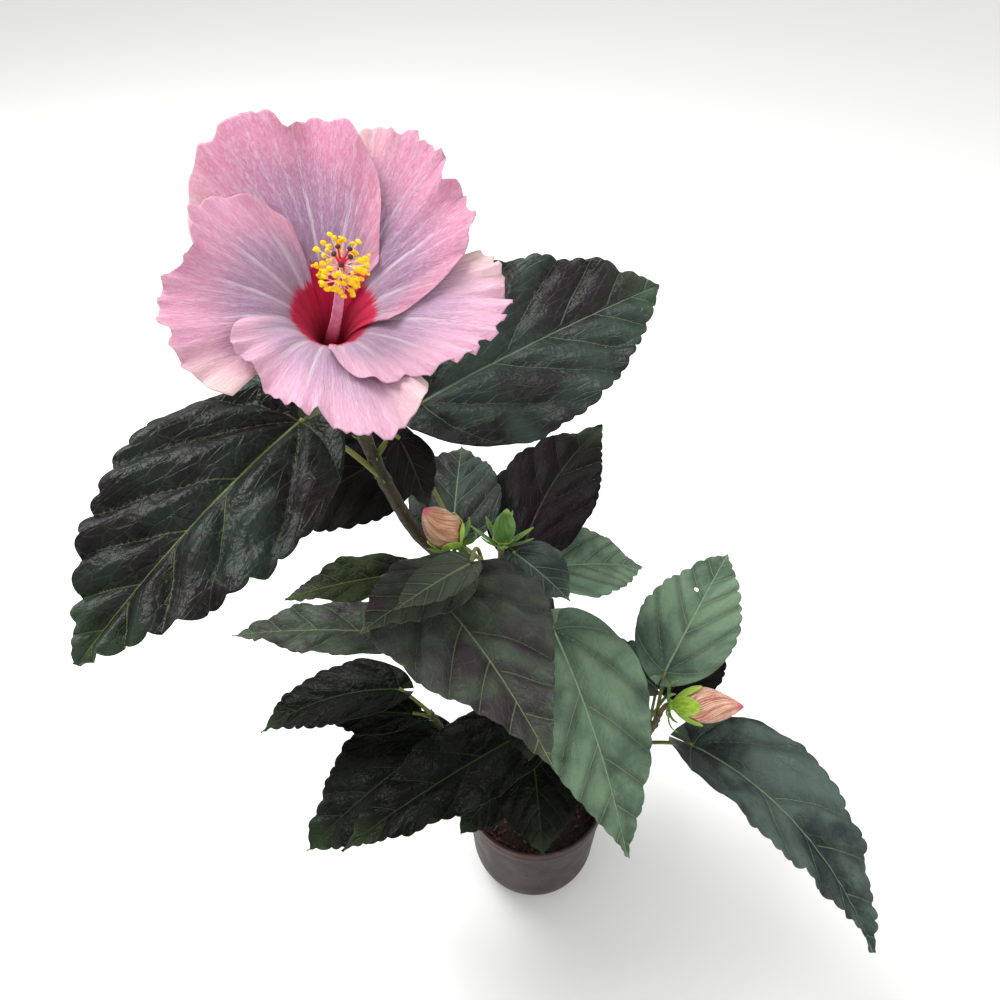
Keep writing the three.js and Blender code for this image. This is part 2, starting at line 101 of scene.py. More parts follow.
LEAVES = {
    "upper_left": leaf("flower_branch", 0.62, (-130, -5, 469), -118, 0, 156, 98, "dusky",
                       droop=34, roll=-14, sweep=-15, taper=1, quilt=4, teeth=3.2, tooth=12),
    "upper_right": leaf("flower_branch", 0.7, (-70, 15, 466), 25, 18, 148, 104, "slate",
                        droop=8, roll=26, taper=0.95, teeth=2),
    "behind_stem": leaf("flower_branch", 0.12, (-84, 50, 408), -150, -6, 95, 76, "umber", droop=24,
                        roll=-14, teeth=2),
    "behind_bloom": leaf("flower_branch", 0.78, (-112, 24, 452), 150, 4, 88, 60, "slate", droop=10),
    "under_bloom": leaf("flower_branch", 0.84, (-81, 3, 451), -58, -26, 40, 25, "umber", droop=40),
    "back_upright": leaf("main_stem", 0.97, (-58, 28, 352), 88, 14, 90, 60, "slate",
                         droop=24, quilt=2.4),
    "back_dark": leaf("main_stem", 0.9, (-14, 26, 343), 74, 14, 124, 70, "umber", droop=10, sweep=-26),
    "right_upper": leaf("main_stem", 0.93, (2, 26, 328), 12, 0, 68, 64, "sage", droop=24, teeth=2),
    "top_small": leaf("main_stem", 0.93, (-20, -9, 378), -48, 5, 46, 36, "teal", droop=20, ruffle=2.6),
    "front_large": leaf("main_stem", 0.86, (-66, -37, 375), -60, 23, 130, 92, "plum",
                        droop=46, fold=8, taper=1.45, teeth=1, ruffle=3),
    "front_small": leaf("flower_branch", 0.08, (-43, -46, 408), -137, 8, 50, 28, "plum",
                        droop=12, arch=0.45, quilt=0.8),
    "front_left": leaf("flower_branch", 0.24, (-50, -34, 389), -131, 18, 72, 46, "plum", droop=16),
    "left_narrow": leaf("main_stem", 0.84, (-86, 12, 338), -171, 2, 78, 38, "olive", droop=20),
    "left_long": leaf("main_stem", 0.74, (-84, 0, 293), 178, 7, 121, 46, "plum", droop=20),
    "right_large": leaf("main_stem", 0.88, (4, -27, 331), -69, -10, 138, 76, "sage", droop=48, taper=1.3,
                        quilt=2.4, ruffle=3, teeth=1),
    "inner_front": leaf("main_stem", 0.62, (-8, -16, 264), -91, -24, 50, 50, "deep_shaded",
                        droop=20, quilt=1.3),
    "low_left": leaf("left_branch", 1, (-98, 0, 234), 178, 0, 103, 50, "deep_shaded",
                     droop=26, sweep=28, teeth=2.2, quilt=1.3),
    "low_left_small": leaf("left_branch", 0.95, (-89, -10, 219), 176, 2, 70, 40, "deep_shaded",
                           droop=20, teeth=2, quilt=1.3),
    "low_front_left": leaf("left_branch", 0.7, (-69, -16, 198), -147, -8, 120, 84, "deep_shaded",
                           droop=30, teeth=2, quilt=1.3),
    "low_front": leaf("main_stem", 0.42, (0, -18, 218), -151, -2, 156, 64, "deep_shaded",
                      droop=22, teeth=1.6, quilt=1.3),
    "over_rim_left": leaf("main_stem", 0.2, (-22, -14, 144), -140, -24, 56, 42, "deep_shaded",
                          droop=20, quilt=1.3),
    "over_rim_right": leaf("main_stem", 0.3, (-4, -18, 176), -84, -14, 66, 60, "deep_shaded",
                           droop=30, quilt=1.3),
    "right_inner": leaf("main_stem", 0.5, (22, -10, 226), -58, -10, 82, 52, "deep_shaded",
                        droop=30, quilt=1.3),
    "right_back": leaf("right_branch", 0.9, (84, 0, 253), 57, 24, 103, 68, "sage", droop=14, teeth=2.2,
                       hole=(0.63, 0.28, 1.9)),
    "right_small": leaf("right_branch", 0.8, (80, -2, 238), 134, 4, 52, 44, "teal", droop=14),
    "right_low_back": leaf("right_branch", 0.7, (92, 5, 224), 43, 4, 65, 44, "umber", droop=14),
    "far_right": leaf("right_branch", 0.6, (104, -30, 211), -35, 6, 170, 76, "teal",
                      droop=50, sweep=-28, fold=20, roll=-8, taper=1.25, quilt=1.8, teeth=2.4),
    "rear_high": leaf("main_stem", 0.6, (-24, 32, 236), 100, -4, 118, 88, "dusky", droop=26),
    "rear_left": leaf("main_stem", 0.42, (-34, 30, 202), 118, -8, 100, 70, "deep_shaded", droop=30),
    "rear_right": leaf("main_stem", 0.38, (26, 26, 190), 48, -6, 108, 80, "deep_shaded", droop=30),
    "rear_low": leaf("main_stem", 0.26, (-6, 34, 160), 95, -10, 96, 76, "deep_shaded", droop=34),
}

# ---- directions, curves and rings ------------------------------------------------------------
# The turn in radians from one anther to the next, and how many steps a stem's line is cut into.
GOLDEN_ANGLE = 2.39996
STEM_STEPS = 200


def unit(vectors):
    """Vectors scaled to a length of one, row by row."""
    vectors = np.asarray(vectors, float)
    return vectors / np.linalg.norm(vectors, axis=-1, keepdims=True)


def direction(heading, rise):
    """The unit vector along a heading and a rise; either may be an array."""
    heading, rise = np.radians(heading), np.radians(rise)
    return np.stack([np.cos(rise) * np.cos(heading), np.cos(rise) * np.sin(heading),
                     np.sin(rise) + 0 * heading], -1)


def turned_about(vectors, axis, degrees):
    """vectors turned about axis, row by row."""
    angle = np.radians(degrees)
    along = (vectors * axis).sum(-1, keepdims=True) * axis
    return along + (vectors - along) * np.cos(angle) + np.cross(axis, vectors) * np.sin(angle)


def evenly(line, count):
    """count points evenly spaced along a polyline."""
    walked = np.r_[0, np.cumsum(np.linalg.norm(np.diff(line, axis=0), axis=1))]
    at = np.linspace(0, walked[-1], count)
    return np.stack([np.interp(at, walked, line[:, k]) for k in range(3)], 1)


def curve_through(points, count):
    """The smooth curve that a stem grows along, through its points."""
    points = np.array(points, float)
    around = np.vstack([2 * points[0] - points[1], points, 2 * points[-1] - points[-2]])
    t = np.linspace(0, 1, 80, endpoint=False)[:, None]
    spans = []
    for p0, p1, p2, p3 in zip(around, around[1:], around[2:], around[3:]):
        d0, d1, d2 = (np.linalg.norm(b - a) ** 0.5 for a, b in ((p0, p1), (p1, p2), (p2, p3)))
        m1 = ((p1 - p0) / d0 - (p2 - p0) / (d0 + d1) + (p2 - p1) / d1) * d1
        m2 = ((p2 - p1) / d1 - (p3 - p1) / (d1 + d2) + (p3 - p2) / d2) * d1
        spans.append((2 * t**3 - 3 * t**2 + 1) * p1 + (t**3 - 2 * t**2 + t) * m1
                     + (3 * t**2 - 2 * t**3) * p2 + (t**3 - t**2) * m2)
    return evenly(np.vstack(spans + [points[-1:]]), count)


def bowed(start, end, arch, count):
    """A stalk's line from start to end, its middle raised by arch times its span."""
    middle = (start + end) / 2 + np.array([0, 0, np.linalg.norm(end - start) * arch])
    t = np.linspace(0, 1, count)[:, None]
    return (1 - t) ** 2 * start + 2 * t * (1 - t) * middle + t**2 * end


def stem_place(stem, at):
    """The number of the point a share at along a stem's line of STEM_STEPS, and that line."""
    return round(at * STEM_STEPS), curve_through(STEMS[stem][0], STEM_STEPS + 1)


def spoke(across, up, turn):
    """The unit vector at an angle turn in the plane of across and up."""
    return across * math.cos(turn) + up * math.sin(turn)


def frames_along(line, side):
    """side and up at each point of a line, without twist."""
    ahead = unit(np.gradient(line, axis=0))
    sides = np.zeros_like(ahead)
    current = np.array(side, float)
    for k, forward in enumerate(ahead):
        current = unit(current - forward * current.dot(forward))
        sides[k] = current
    return sides, np.cross(ahead, sides)


def smooth(low, high, value):
    """0 below low and 1 above high, with a smooth step between."""
    t = np.clip((value - low) / (high - low), 0, 1)
    return t * t * (3 - 2 * t)


def ripple(place, waves, seed):
    """A smooth uneven wave along place: a few sines of random phase, between about -1 and 1."""
    draw = np.random.default_rng(seed)
    total = 0
    for wave in waves:
        total = total + np.sin(2 * np.pi * (place * wave + draw.random())) * (0.6 + 0.8 * draw.random())
    return total / (1.3 * len(waves) ** 0.5)


# ---- meshes ----------------------------------------------------------------------------------


def ring_faces(rows, count):
    """The quads of a closed loft of rows rings with count points each, without its ends."""
    row, k = np.meshgrid(np.arange(rows - 1), np.arange(count), indexing="ij")
    a, b = row * count + k, row * count + (k + 1) % count
    return np.stack([a, b, b + count, a + count], -1).reshape(-1, 4)


def grid_uv(rows, count, window):
    """Corner UVs for ring_faces, spread over a window of the sheet: u round and v along."""
    u0, v0, u1, v1 = window
    row, k = np.meshgrid(np.arange(rows - 1), np.arange(count), indexing="ij")
    u = np.stack([k, k + 1, k + 1, k], -1) / count
    v = np.stack([row, row, row + 1, row + 1], -1) / (rows - 1)
    return np.stack([u0 + (u1 - u0) * u, v0 + (v1 - v0) * v], -1).reshape(-1, 2)


def part(points, faces, material=0, uv=None, **values):
    """A part of a piece, in millimetres, with the values that its points carry."""
    return {"points": np.asarray(points, float), "faces": [list(map(int, f)) for f in faces],
            "material": material, "uv": uv, "values": values}


def end_faces(rows, count):
    """The two flat ends of a closed loft of rows rings with count points each."""
    ring = np.arange(count)
    return [ring[::-1], ring + (rows - 1) * count]


def without_uv(parts):
    return [{**made, "uv": None} for made in parts]


def tube(line, radius, sides, material=0, window=(0, 0, 1, 1), relief=None, side=(0.3, 0.9, 0.2),
         **values):
    """A closed round limb along a line. relief(angle, share) is added to its radius."""
    rows = len(line)
    across, up = frames_along(line, side)
    spin = np.arange(sides) / sides * 2 * np.pi
    share, angle = np.meshgrid(np.linspace(0, 1, rows), spin, indexing="ij")
    size = np.interp(share, np.linspace(0, 1, len(radius)), radius)
    if relief is not None:
        size = size + relief(angle, share)
    points = (line[:, None] + across[:, None] * (size * np.cos(angle))[..., None]
              + up[:, None] * (size * np.sin(angle))[..., None])
    faces = [*ring_faces(rows, sides), *end_faces(rows, sides)]
    u0, v0, u1, v1 = window
    disc = np.stack([np.cos(spin), np.sin(spin)], 1) * 0.01 * (u1 - u0)
    ends = [disc[::-1] + (u0, v1), disc + (u1, v1)]
    uv = np.vstack([grid_uv(rows, sides, (u0, v0, u1, v0 + 0.97 * (v1 - v0))), *ends])
    given = {"along": share.ravel(), "around": angle.ravel() / (2 * np.pi), **values}
    return part(points.reshape(-1, 3), faces, material, uv, **given)


def blade(rows, material=0, **values):
    """A closed two-sided blade. rows is (top, under), each an array of rows by columns of points."""
    top, under = rows
    count, columns = top.shape[:2]
    rings = np.concatenate([top, under[:, ::-1]], axis=1).reshape(-1, 3)
    per_ring = 2 * columns
    sides = ring_faces(count, per_ring)
    j = np.arange(columns - 1)
    start = np.stack([j, per_ring - 1 - j, per_ring - 2 - j, j + 1], 1)
    end = start[:, ::-1] + (count - 1) * per_ring
    faces = np.vstack([sides, start, end])
    values = {name: np.concatenate([value, value[:, ::-1]], axis=1).ravel()
              for name, value in values.items()}
    made = part(rings, faces, material, blade_uv(count, columns), **values)
    face_column = np.tile(np.arange(per_ring), count - 1)
    under_side = np.r_[face_column >= columns, np.zeros(2 * (columns - 1), bool)]
    made["material"] = np.where(under_side, material + 1, material)
    return made


def blade_uv(count, columns):
    """Corner UVs for a blade: its top, its underside and its edge have their own places."""
    row, k = np.meshgrid(np.arange(count - 1), np.arange(2 * columns), indexing="ij")
    v = np.stack([row, row, row + 1, row + 1], -1) / (count - 1)
    step = np.stack([k, k + 1, k + 1, k], -1)
    is_under = (k >= columns)[..., None]
    u = np.where(is_under, step - columns, step) / (columns - 1) * 0.94
    v = np.where(is_under, 0.5 + v * 0.49, v * 0.49)
    edge = ((k == columns - 1) | (k == 2 * columns - 1))[..., None]
    side = np.where(k == columns - 1, 0.95, 0.957)[..., None]
    corner = np.stack([0 * k, 0 * k + 1, 0 * k + 1, 0 * k], -1)
    straight = np.stack([row, row, row + 1, row + 1], -1) / (count - 1)
    u = np.where(edge, side + 0.004 * corner, u)
    v = np.where(edge, straight * 0.99, v)
    j = np.arange(columns - 1)[:, None] / columns
    cap_u = 0.965 + 0.001 * np.array([[0, 1, 1, 0]]) + 0 * j
    cap_v = j + np.array([[0, 0, 1, 1]]) / columns
    caps = [np.stack([cap_u + shift, cap_v * 0.99], -1).reshape(-1, 2) for shift in (0, 0.003)]
    return np.vstack([np.stack([u, v], -1).reshape(-1, 2), *caps])


def piece(name, parts, materials, nodes=()):
    """Joins parts, given in millimetres, into one piece that rides on the plant."""
    fields = sorted({field for p in parts for field in p["values"]})
    points, faces, index, uv, values = [], [], [], [], {field: [] for field in fields}
    start = 0
    for p in parts:
        count = len(p["points"])
        points.append(p["points"] * MM)
        faces += [[v + start for v in f] for f in p["faces"]]
        index.append(np.broadcast_to(p["material"], len(p["faces"])))
        uv.append(p["uv"])
        for field in fields:
            values[field].append(np.broadcast_to(np.asarray(p["values"].get(field, 0), float), count))
        start += count
    mesh = bpy.data.meshes.new(name)
    mesh.from_pydata(np.vstack(points).tolist(), [], faces)
    mesh.polygons.foreach_set("material_index", np.concatenate(index).astype(np.int32))
    mesh.polygons.foreach_set("use_smooth", np.full(len(faces), True))
    for field in fields:
        layer = mesh.attributes.new(field, "FLOAT", "POINT")
        layer.data.foreach_set("value", np.concatenate(values[field]).astype(np.float32))
    if all(corners is not None for corners in uv):
        layer = mesh.uv_layers.new(name="OFBake")
        layer.data.foreach_set("uv", np.vstack(uv).astype(np.float32).ravel())
    for material in materials:
        mesh.materials.append(material)
    made = bpy.data.objects.new(name, mesh)
    bpy.context.scene.collection.objects.link(made)
    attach(made, "root")
    if nodes:
        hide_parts(*nodes)
    return made


def drill(made, parts):
    """Cut parts out of a finished piece."""
    tool = piece("drill", parts, [])
    cut = made.modifiers.new("drill", "BOOLEAN")
    cut.object = tool
    cut.operation = "DIFFERENCE"
    cut.solver = "EXACT"
    drilled = made.evaluated_get(bpy.context.evaluated_depsgraph_get())
    final = bpy.data.meshes.new_from_object(drilled)
    made.modifiers.clear()
    made.data = final
    bpy.data.objects.remove(tool, do_unlink=True)


# ---- shader building -------------------------------------------------------------------------


def feed(tree, socket, value):
    """Links a socket's value, or sets it."""
    if isinstance(value, bpy.types.NodeSocket):
        tree.links.new(value, socket)
    else:
        socket.default_value = value


def put(tree, kind, inputs=None, **settings):
    """Adds a node, sets its properties, and fills or links its inputs by name or number."""
    made = tree.nodes.new(kind)
    for name, value in settings.items():
        setattr(made, name, value)
    for key, value in (inputs or {}).items():
        feed(tree, made.inputs[key], value)
    return made


def calc(tree, operation, a, b=0.0, c=0.0):
    """A Math node's result."""
    return put(tree, "ShaderNodeMath", {0: a, 1: b, 2: c}, operation=operation).outputs[0]


def fade(tree, value, low, high, start=0.0, end=1.0):
    """value mapped smoothly from low..high to start..end."""
    given = {0: value, 1: low, 2: high, 3: start, 4: end}
    return put(tree, "ShaderNodeMapRange", given, interpolation_type="SMOOTHSTEP").outputs[0]


def blend(tree, mask, first, second):
    """Two colours mixed by a mask."""
    made = put(tree, "ShaderNodeMix", {0: mask}, data_type="RGBA")
    feed(tree, made.inputs[6], first)
    feed(tree, made.inputs[7], second)
    return made.outputs[2]


def washed(tree, body, mask, strength, tint):
    """A body colour washed with a tint where a mask shows, at most by strength."""
    return blend(tree, calc(tree, "MULTIPLY", mask, strength), body, colour(tint))


def about_nought(tree, value):
    """A noise of 0 to 1 moved to swing about 0."""
    return calc(tree, "SUBTRACT", value, 0.5)


def field(tree, name):
    """A value that the mesh carries at its points."""
    return put(tree, "ShaderNodeAttribute", attribute_name=name).outputs["Fac"]


def vector(tree, x, y, z=0.0):
    """Three values as a place for a texture."""
    return put(tree, "ShaderNodeCombineXYZ", {0: x, 1: y, 2: z}).outputs[0]


def noise(tree, scale, place=None, detail=3.0, roughness=0.5, distortion=0.0):
    """A Noise texture's value, at a place in the object unless another is given."""
    given = {"Scale": scale, "Detail": detail, "Roughness": roughness, "Distortion": distortion}
    if place is None:
        place = put(tree, "ShaderNodeTexCoord").outputs["Object"]
    return put(tree, "ShaderNodeTexNoise", {"Vector": place, **given}).outputs["Fac"]


def bump(tree, height, strength, distance):
    """A Bump node's normal; distance is in millimetres."""
    given = {"Height": height, "Strength": strength, "Distance": distance * MM}
    return put(tree, "ShaderNodeBump", given).outputs[0]


def colour(text):
    """A hex colour as linear red, green, blue and alpha."""
    shares = [int(text[k:k + 2], 16) / 255 for k in (1, 3, 5)]
    return tuple(s / 12.92 if s <= 0.04045 else ((s + 0.055) / 1.055) ** 2.4 for s in shares) + (1.0,)


def finish(name):
    """A new material and its node tree, with a Principled BSDF and an output."""
    material = bpy.data.materials.new(name)
    material.use_nodes = True
    tree = material.node_tree
    tree.nodes.clear()
    surface = put(tree, "ShaderNodeBsdfPrincipled")
    output = put(tree, "ShaderNodeOutputMaterial")
    tree.links.new(surface.outputs[0], output.inputs[0])
    return material, tree, surface


def wire(tree, surface, **sockets):
    """Sets or links the surface's sockets; underscores stand for spaces."""
    for name, value in sockets.items():
        feed(tree, surface.inputs[name.replace("_", " ")], value)


def group(name, inputs, outputs):
    """A shader node group with named sockets; returns it with its inner in and out nodes."""
    made = bpy.data.node_groups.new(name, "ShaderNodeTree")
    for socket in inputs:
        made.interface.new_socket(socket, in_out="INPUT", socket_type="NodeSocketFloat")
    for socket in outputs:
        made.interface.new_socket(socket, in_out="OUTPUT", socket_type="NodeSocketFloat")
    return made, made.nodes.new("NodeGroupInput"), made.nodes.new("NodeGroupOutput")


def place_group(tree, made, inputs):
    """Places a node group in a material with its own values; returns its outputs."""
    return put(tree, "ShaderNodeGroup", inputs, node_tree=made).outputs


def make_vein_group():
    """Leaf veins: masks for the midrib, for the side veins, and for the fine net between them."""
    made, given, out = group("leaf veins", ["Phase", "Gap", "Across", "Along", "Width"],
                             ["Midrib", "Sides", "Net"])
    g = given.outputs
    part_way = calc(made, "FRACT", g["Phase"])
    nearest = calc(made, "MINIMUM", part_way, calc(made, "SUBTRACT", 1.0, part_way))
    side_distance = calc(made, "MULTIPLY", nearest, g["Gap"])
    rib_distance = calc(made, "ABSOLUTE", g["Across"])
    thin = calc(made, "MULTIPLY", g["Width"], fade(made, rib_distance, 0.0, 40.0, 0.5, 0.18))
    stout = calc(made, "MULTIPLY", g["Width"], fade(made, g["Along"], 0.0, 1.0, 0.75, 0.25))
    for name, distance, width in (("Sides", side_distance, thin), ("Midrib", rib_distance, stout)):
        shares = calc(made, "DIVIDE", distance, width)
        made.links.new(fade(made, shares, 0.5, 1.4, 1.0, 0.0), out.inputs[name])
    place = vector(made, calc(made, "MULTIPLY", g["Phase"], 3.2),
                   calc(made, "MULTIPLY", g["Across"], 0.17))
    cells = put(made, "ShaderNodeTexVoronoi", {"Vector": place, "Scale": 1.0, "Randomness": 0.9},
                feature="DISTANCE_TO_EDGE")
    made.links.new(fade(made, cells.outputs["Distance"], 0.01, 0.07, 1.0, 0.0), out.inputs["Net"])
    return made


VEIN_GROUP = make_vein_group()

# Each leaf finish: its two body colours, its vein colour, and the roughness and shine of its skin.
LEAF_FINISHES = {
    "dusky": ("#161013", "#1a261f", "#66734a", 0.34, 0.17),
    "slate": ("#1f191d", "#303d36", "#6c7b64", 0.38, 0.17),
    "plum": ("#332a2f", "#414d3f", "#758260", 0.42, 0.18),
    # painted shade: the near-black body colours of the leaves behind the stem, under the bloom and at
    # the back stand partly for the shadow they lie in, over their own dark purple
    "umber": ("#140d11", "#151212", "#35342c", 0.5, 0.07),
    # painted shade: the near-black body colours of the low, inner and rear leaves stand partly for the
    # shade they lie in beneath the leaves above, over their own dark green
    "deep_shaded": ("#080907", "#11140e", "#343f26", 0.3, 0.09),
    "sage": ("#4b6150", "#6f886d", "#93a88a", 0.42, 0.2),
    "teal": ("#26302f", "#4e5e56", "#7b8d78", 0.38, 0.22),
    "olive": ("#15140d", "#2a3a14", "#5c6b38", 0.40, 0.15),
}


def leaf_skin(name, dark, light, vein, roughness, shine, under=False):
    """The skin of a leaf: two colours in patches, painted shade in the furrows beside the side veins,
    ribs and net in relief, a soft waxy gloss.
    """
    material, tree, surface = finish(name)
    given = {key: field(tree, key.lower()) for key in ("Phase", "Gap", "Across", "Along")}
    veins = place_group(tree, VEIN_GROUP, {**given, "Width": 1.25 if under else 1.0})
    patches = fade(tree, noise(tree, 24.0, detail=4.0, distortion=0.6), 0.38, 0.62)
    body = blend(tree, patches, colour(dark), colour(light))
    # painted shade: the body is darkened towards near black in the furrows beside each side vein, where
    # the quilted blade dips
    from_vein = calc(tree, "PINGPONG", given["Phase"], 0.5)
    body = blend(tree, fade(tree, from_vein, 0.03, 0.28, 0.36, 0.0), body, colour("#060806"))
    body = washed(tree, body, fade(tree, given["Along"], 0.75, 1.0), 0.22, "#55704a")
    speckle = fade(tree, noise(tree, 900.0, detail=2.0), 0.66, 0.74)
    for mask, strength in ((veins["Net"], 0.06), (speckle, 0.1), (veins["Sides"], 0.42),
                           (veins["Midrib"], 0.9)):
        body = washed(tree, body, mask, strength, vein)
    fine = noise(tree, 480.0, detail=4.0)
    crinkle = calc(tree, "MULTIPLY_ADD", noise(tree, 140.0, detail=2.0), 2.2, fine)
    ribs = calc(tree, "MAXIMUM", veins["Sides"], veins["Midrib"])
    raised = 1.0 if under else -1.0
    height = calc(tree, "MULTIPLY_ADD", ribs, raised, crinkle)
    height = calc(tree, "MULTIPLY_ADD", veins["Net"], 0.3 * raised, height)
    gloss = fade(tree, noise(tree, 60.0, detail=3.0), 0.3, 0.7, roughness - 0.06, roughness + 0.08)
    wire(tree, surface, Base_Color=body, Roughness=gloss, Normal=bump(tree, height, 0.75, 0.8),
         Specular_IOR_Level=shine)
    return material


LEAF_UNDERSIDE = ("#3c4638", "#4b5742", "#8a9468", 0.6, 0.15)
LEAF_SKINS = {name: [leaf_skin(f"leaf {name}", *values),
                     leaf_skin(f"leaf {name} underside", *LEAF_UNDERSIDE, under=True)]
              for name, values in LEAF_FINISHES.items()}


def green_stalk(name, low, high):
    """Stalks: olive to reddish skin with fine lengthwise streaks."""
    material, tree, surface = finish(name)
    place = vector(tree, calc(tree, "MULTIPLY", field(tree, "around"), 6.0), field(tree, "along"))
    streaks = noise(tree, 5.0, place, detail=4.0)
    body = blend(tree, fade(tree, streaks, 0.3, 0.7), colour(low), colour(high))
    wire(tree, surface, Base_Color=body, Roughness=0.5,
         Normal=bump(tree, noise(tree, 700.0, detail=3.0), 0.4, 0.3))
    return material


STALK = green_stalk("leaf stalk", "#5a5526", "#7f8a3c")

# ---- leaves ----------------------------------------------------------------------------------
# Where each side vein leaves the midrib, as a share of the blade's length, and its angle to it.
SIDE_VEINS = [(0, 138), (0, 80), (0, 38), (0.3, 42), (0.52, 44), (0.72, 45), (0.88, 47), (1.1, 50)]
VEIN_BEND = 1.3
# How far the two lobes at a blade's foot reach back, as a share of its length, and how square its
# shoulders are.
LOBE = 0.1
SHOULDER = 0.6
ROW_SPACING = 1.15
HALF_COLUMNS = 19
BLADE_THICKNESS = 0.45
# Where a leaf's stalk and the rib under its blade lie on its sheet: u and v of two corners.
STALK_WINDOW = (0.972, 0, 0.982, 1)
RIB_WINDOW = (0.986, 0, 0.996, 1)


def blade_shape(share, taper):
    """The half width of a blade at a share of its length, as a share of its greatest."""
    peak = SHOULDER / (SHOULDER + taper)
    return share**SHOULDER * (1 - share) ** taper / (peak**SHOULDER * (1 - peak) ** taper)


def midrib(spec, shares):
    """The midrib's centre, ahead, side and up at each share of the blade's length."""
    steps = 160
    middles = (np.arange(steps) + 0.5) / steps
    ahead = direction(spec["heading"] + spec["sweep"] * middles, spec["rise"] - spec["droop"] * middles)
    walked = np.vstack([np.zeros(3), np.cumsum(ahead * spec["length"] / steps, axis=0)])
    nodes = np.linspace(0, 1, steps + 1)
    centre = spec["foot"] + np.stack([np.interp(shares, nodes, walked[:, k]) for k in range(3)], 1)
    heading = spec["heading"] + spec["sweep"] * shares
    ahead = direction(heading, spec["rise"] - spec["droop"] * shares)
    side = turned_about(direction(heading + 90, 0 * shares), ahead, spec["roll"])
    return centre, ahead, side, np.cross(ahead, side)


def vein_field(x, y, length):
    """Which side veins each point lies between (a whole number is on a vein), and the gap there."""
    starts = np.array([start for start, _ in SIDE_VEINS]) * length
    angles = np.radians([angle for _, angle in SIDE_VEINS])
    stagger = 0.05 * length * (starts > 0) * (y > 0)[..., None]
    away = np.abs(y)[..., None]
    reach = starts + stagger + away / np.tan(angles) + VEIN_BEND * away**2 / length
    k = np.clip((reach <= x[..., None]).sum(-1) - 1, 0, len(SIDE_VEINS) - 2)
    low = np.take_along_axis(reach, k[..., None], -1)[..., 0]
    high = np.take_along_axis(reach, k[..., None] + 1, -1)[..., 0]
    gap = np.maximum(high - low, 1e-3)
    return k + np.clip((x - low) / gap, 0, 1), gap * np.sin((angles[k] + angles[k + 1]) / 2)


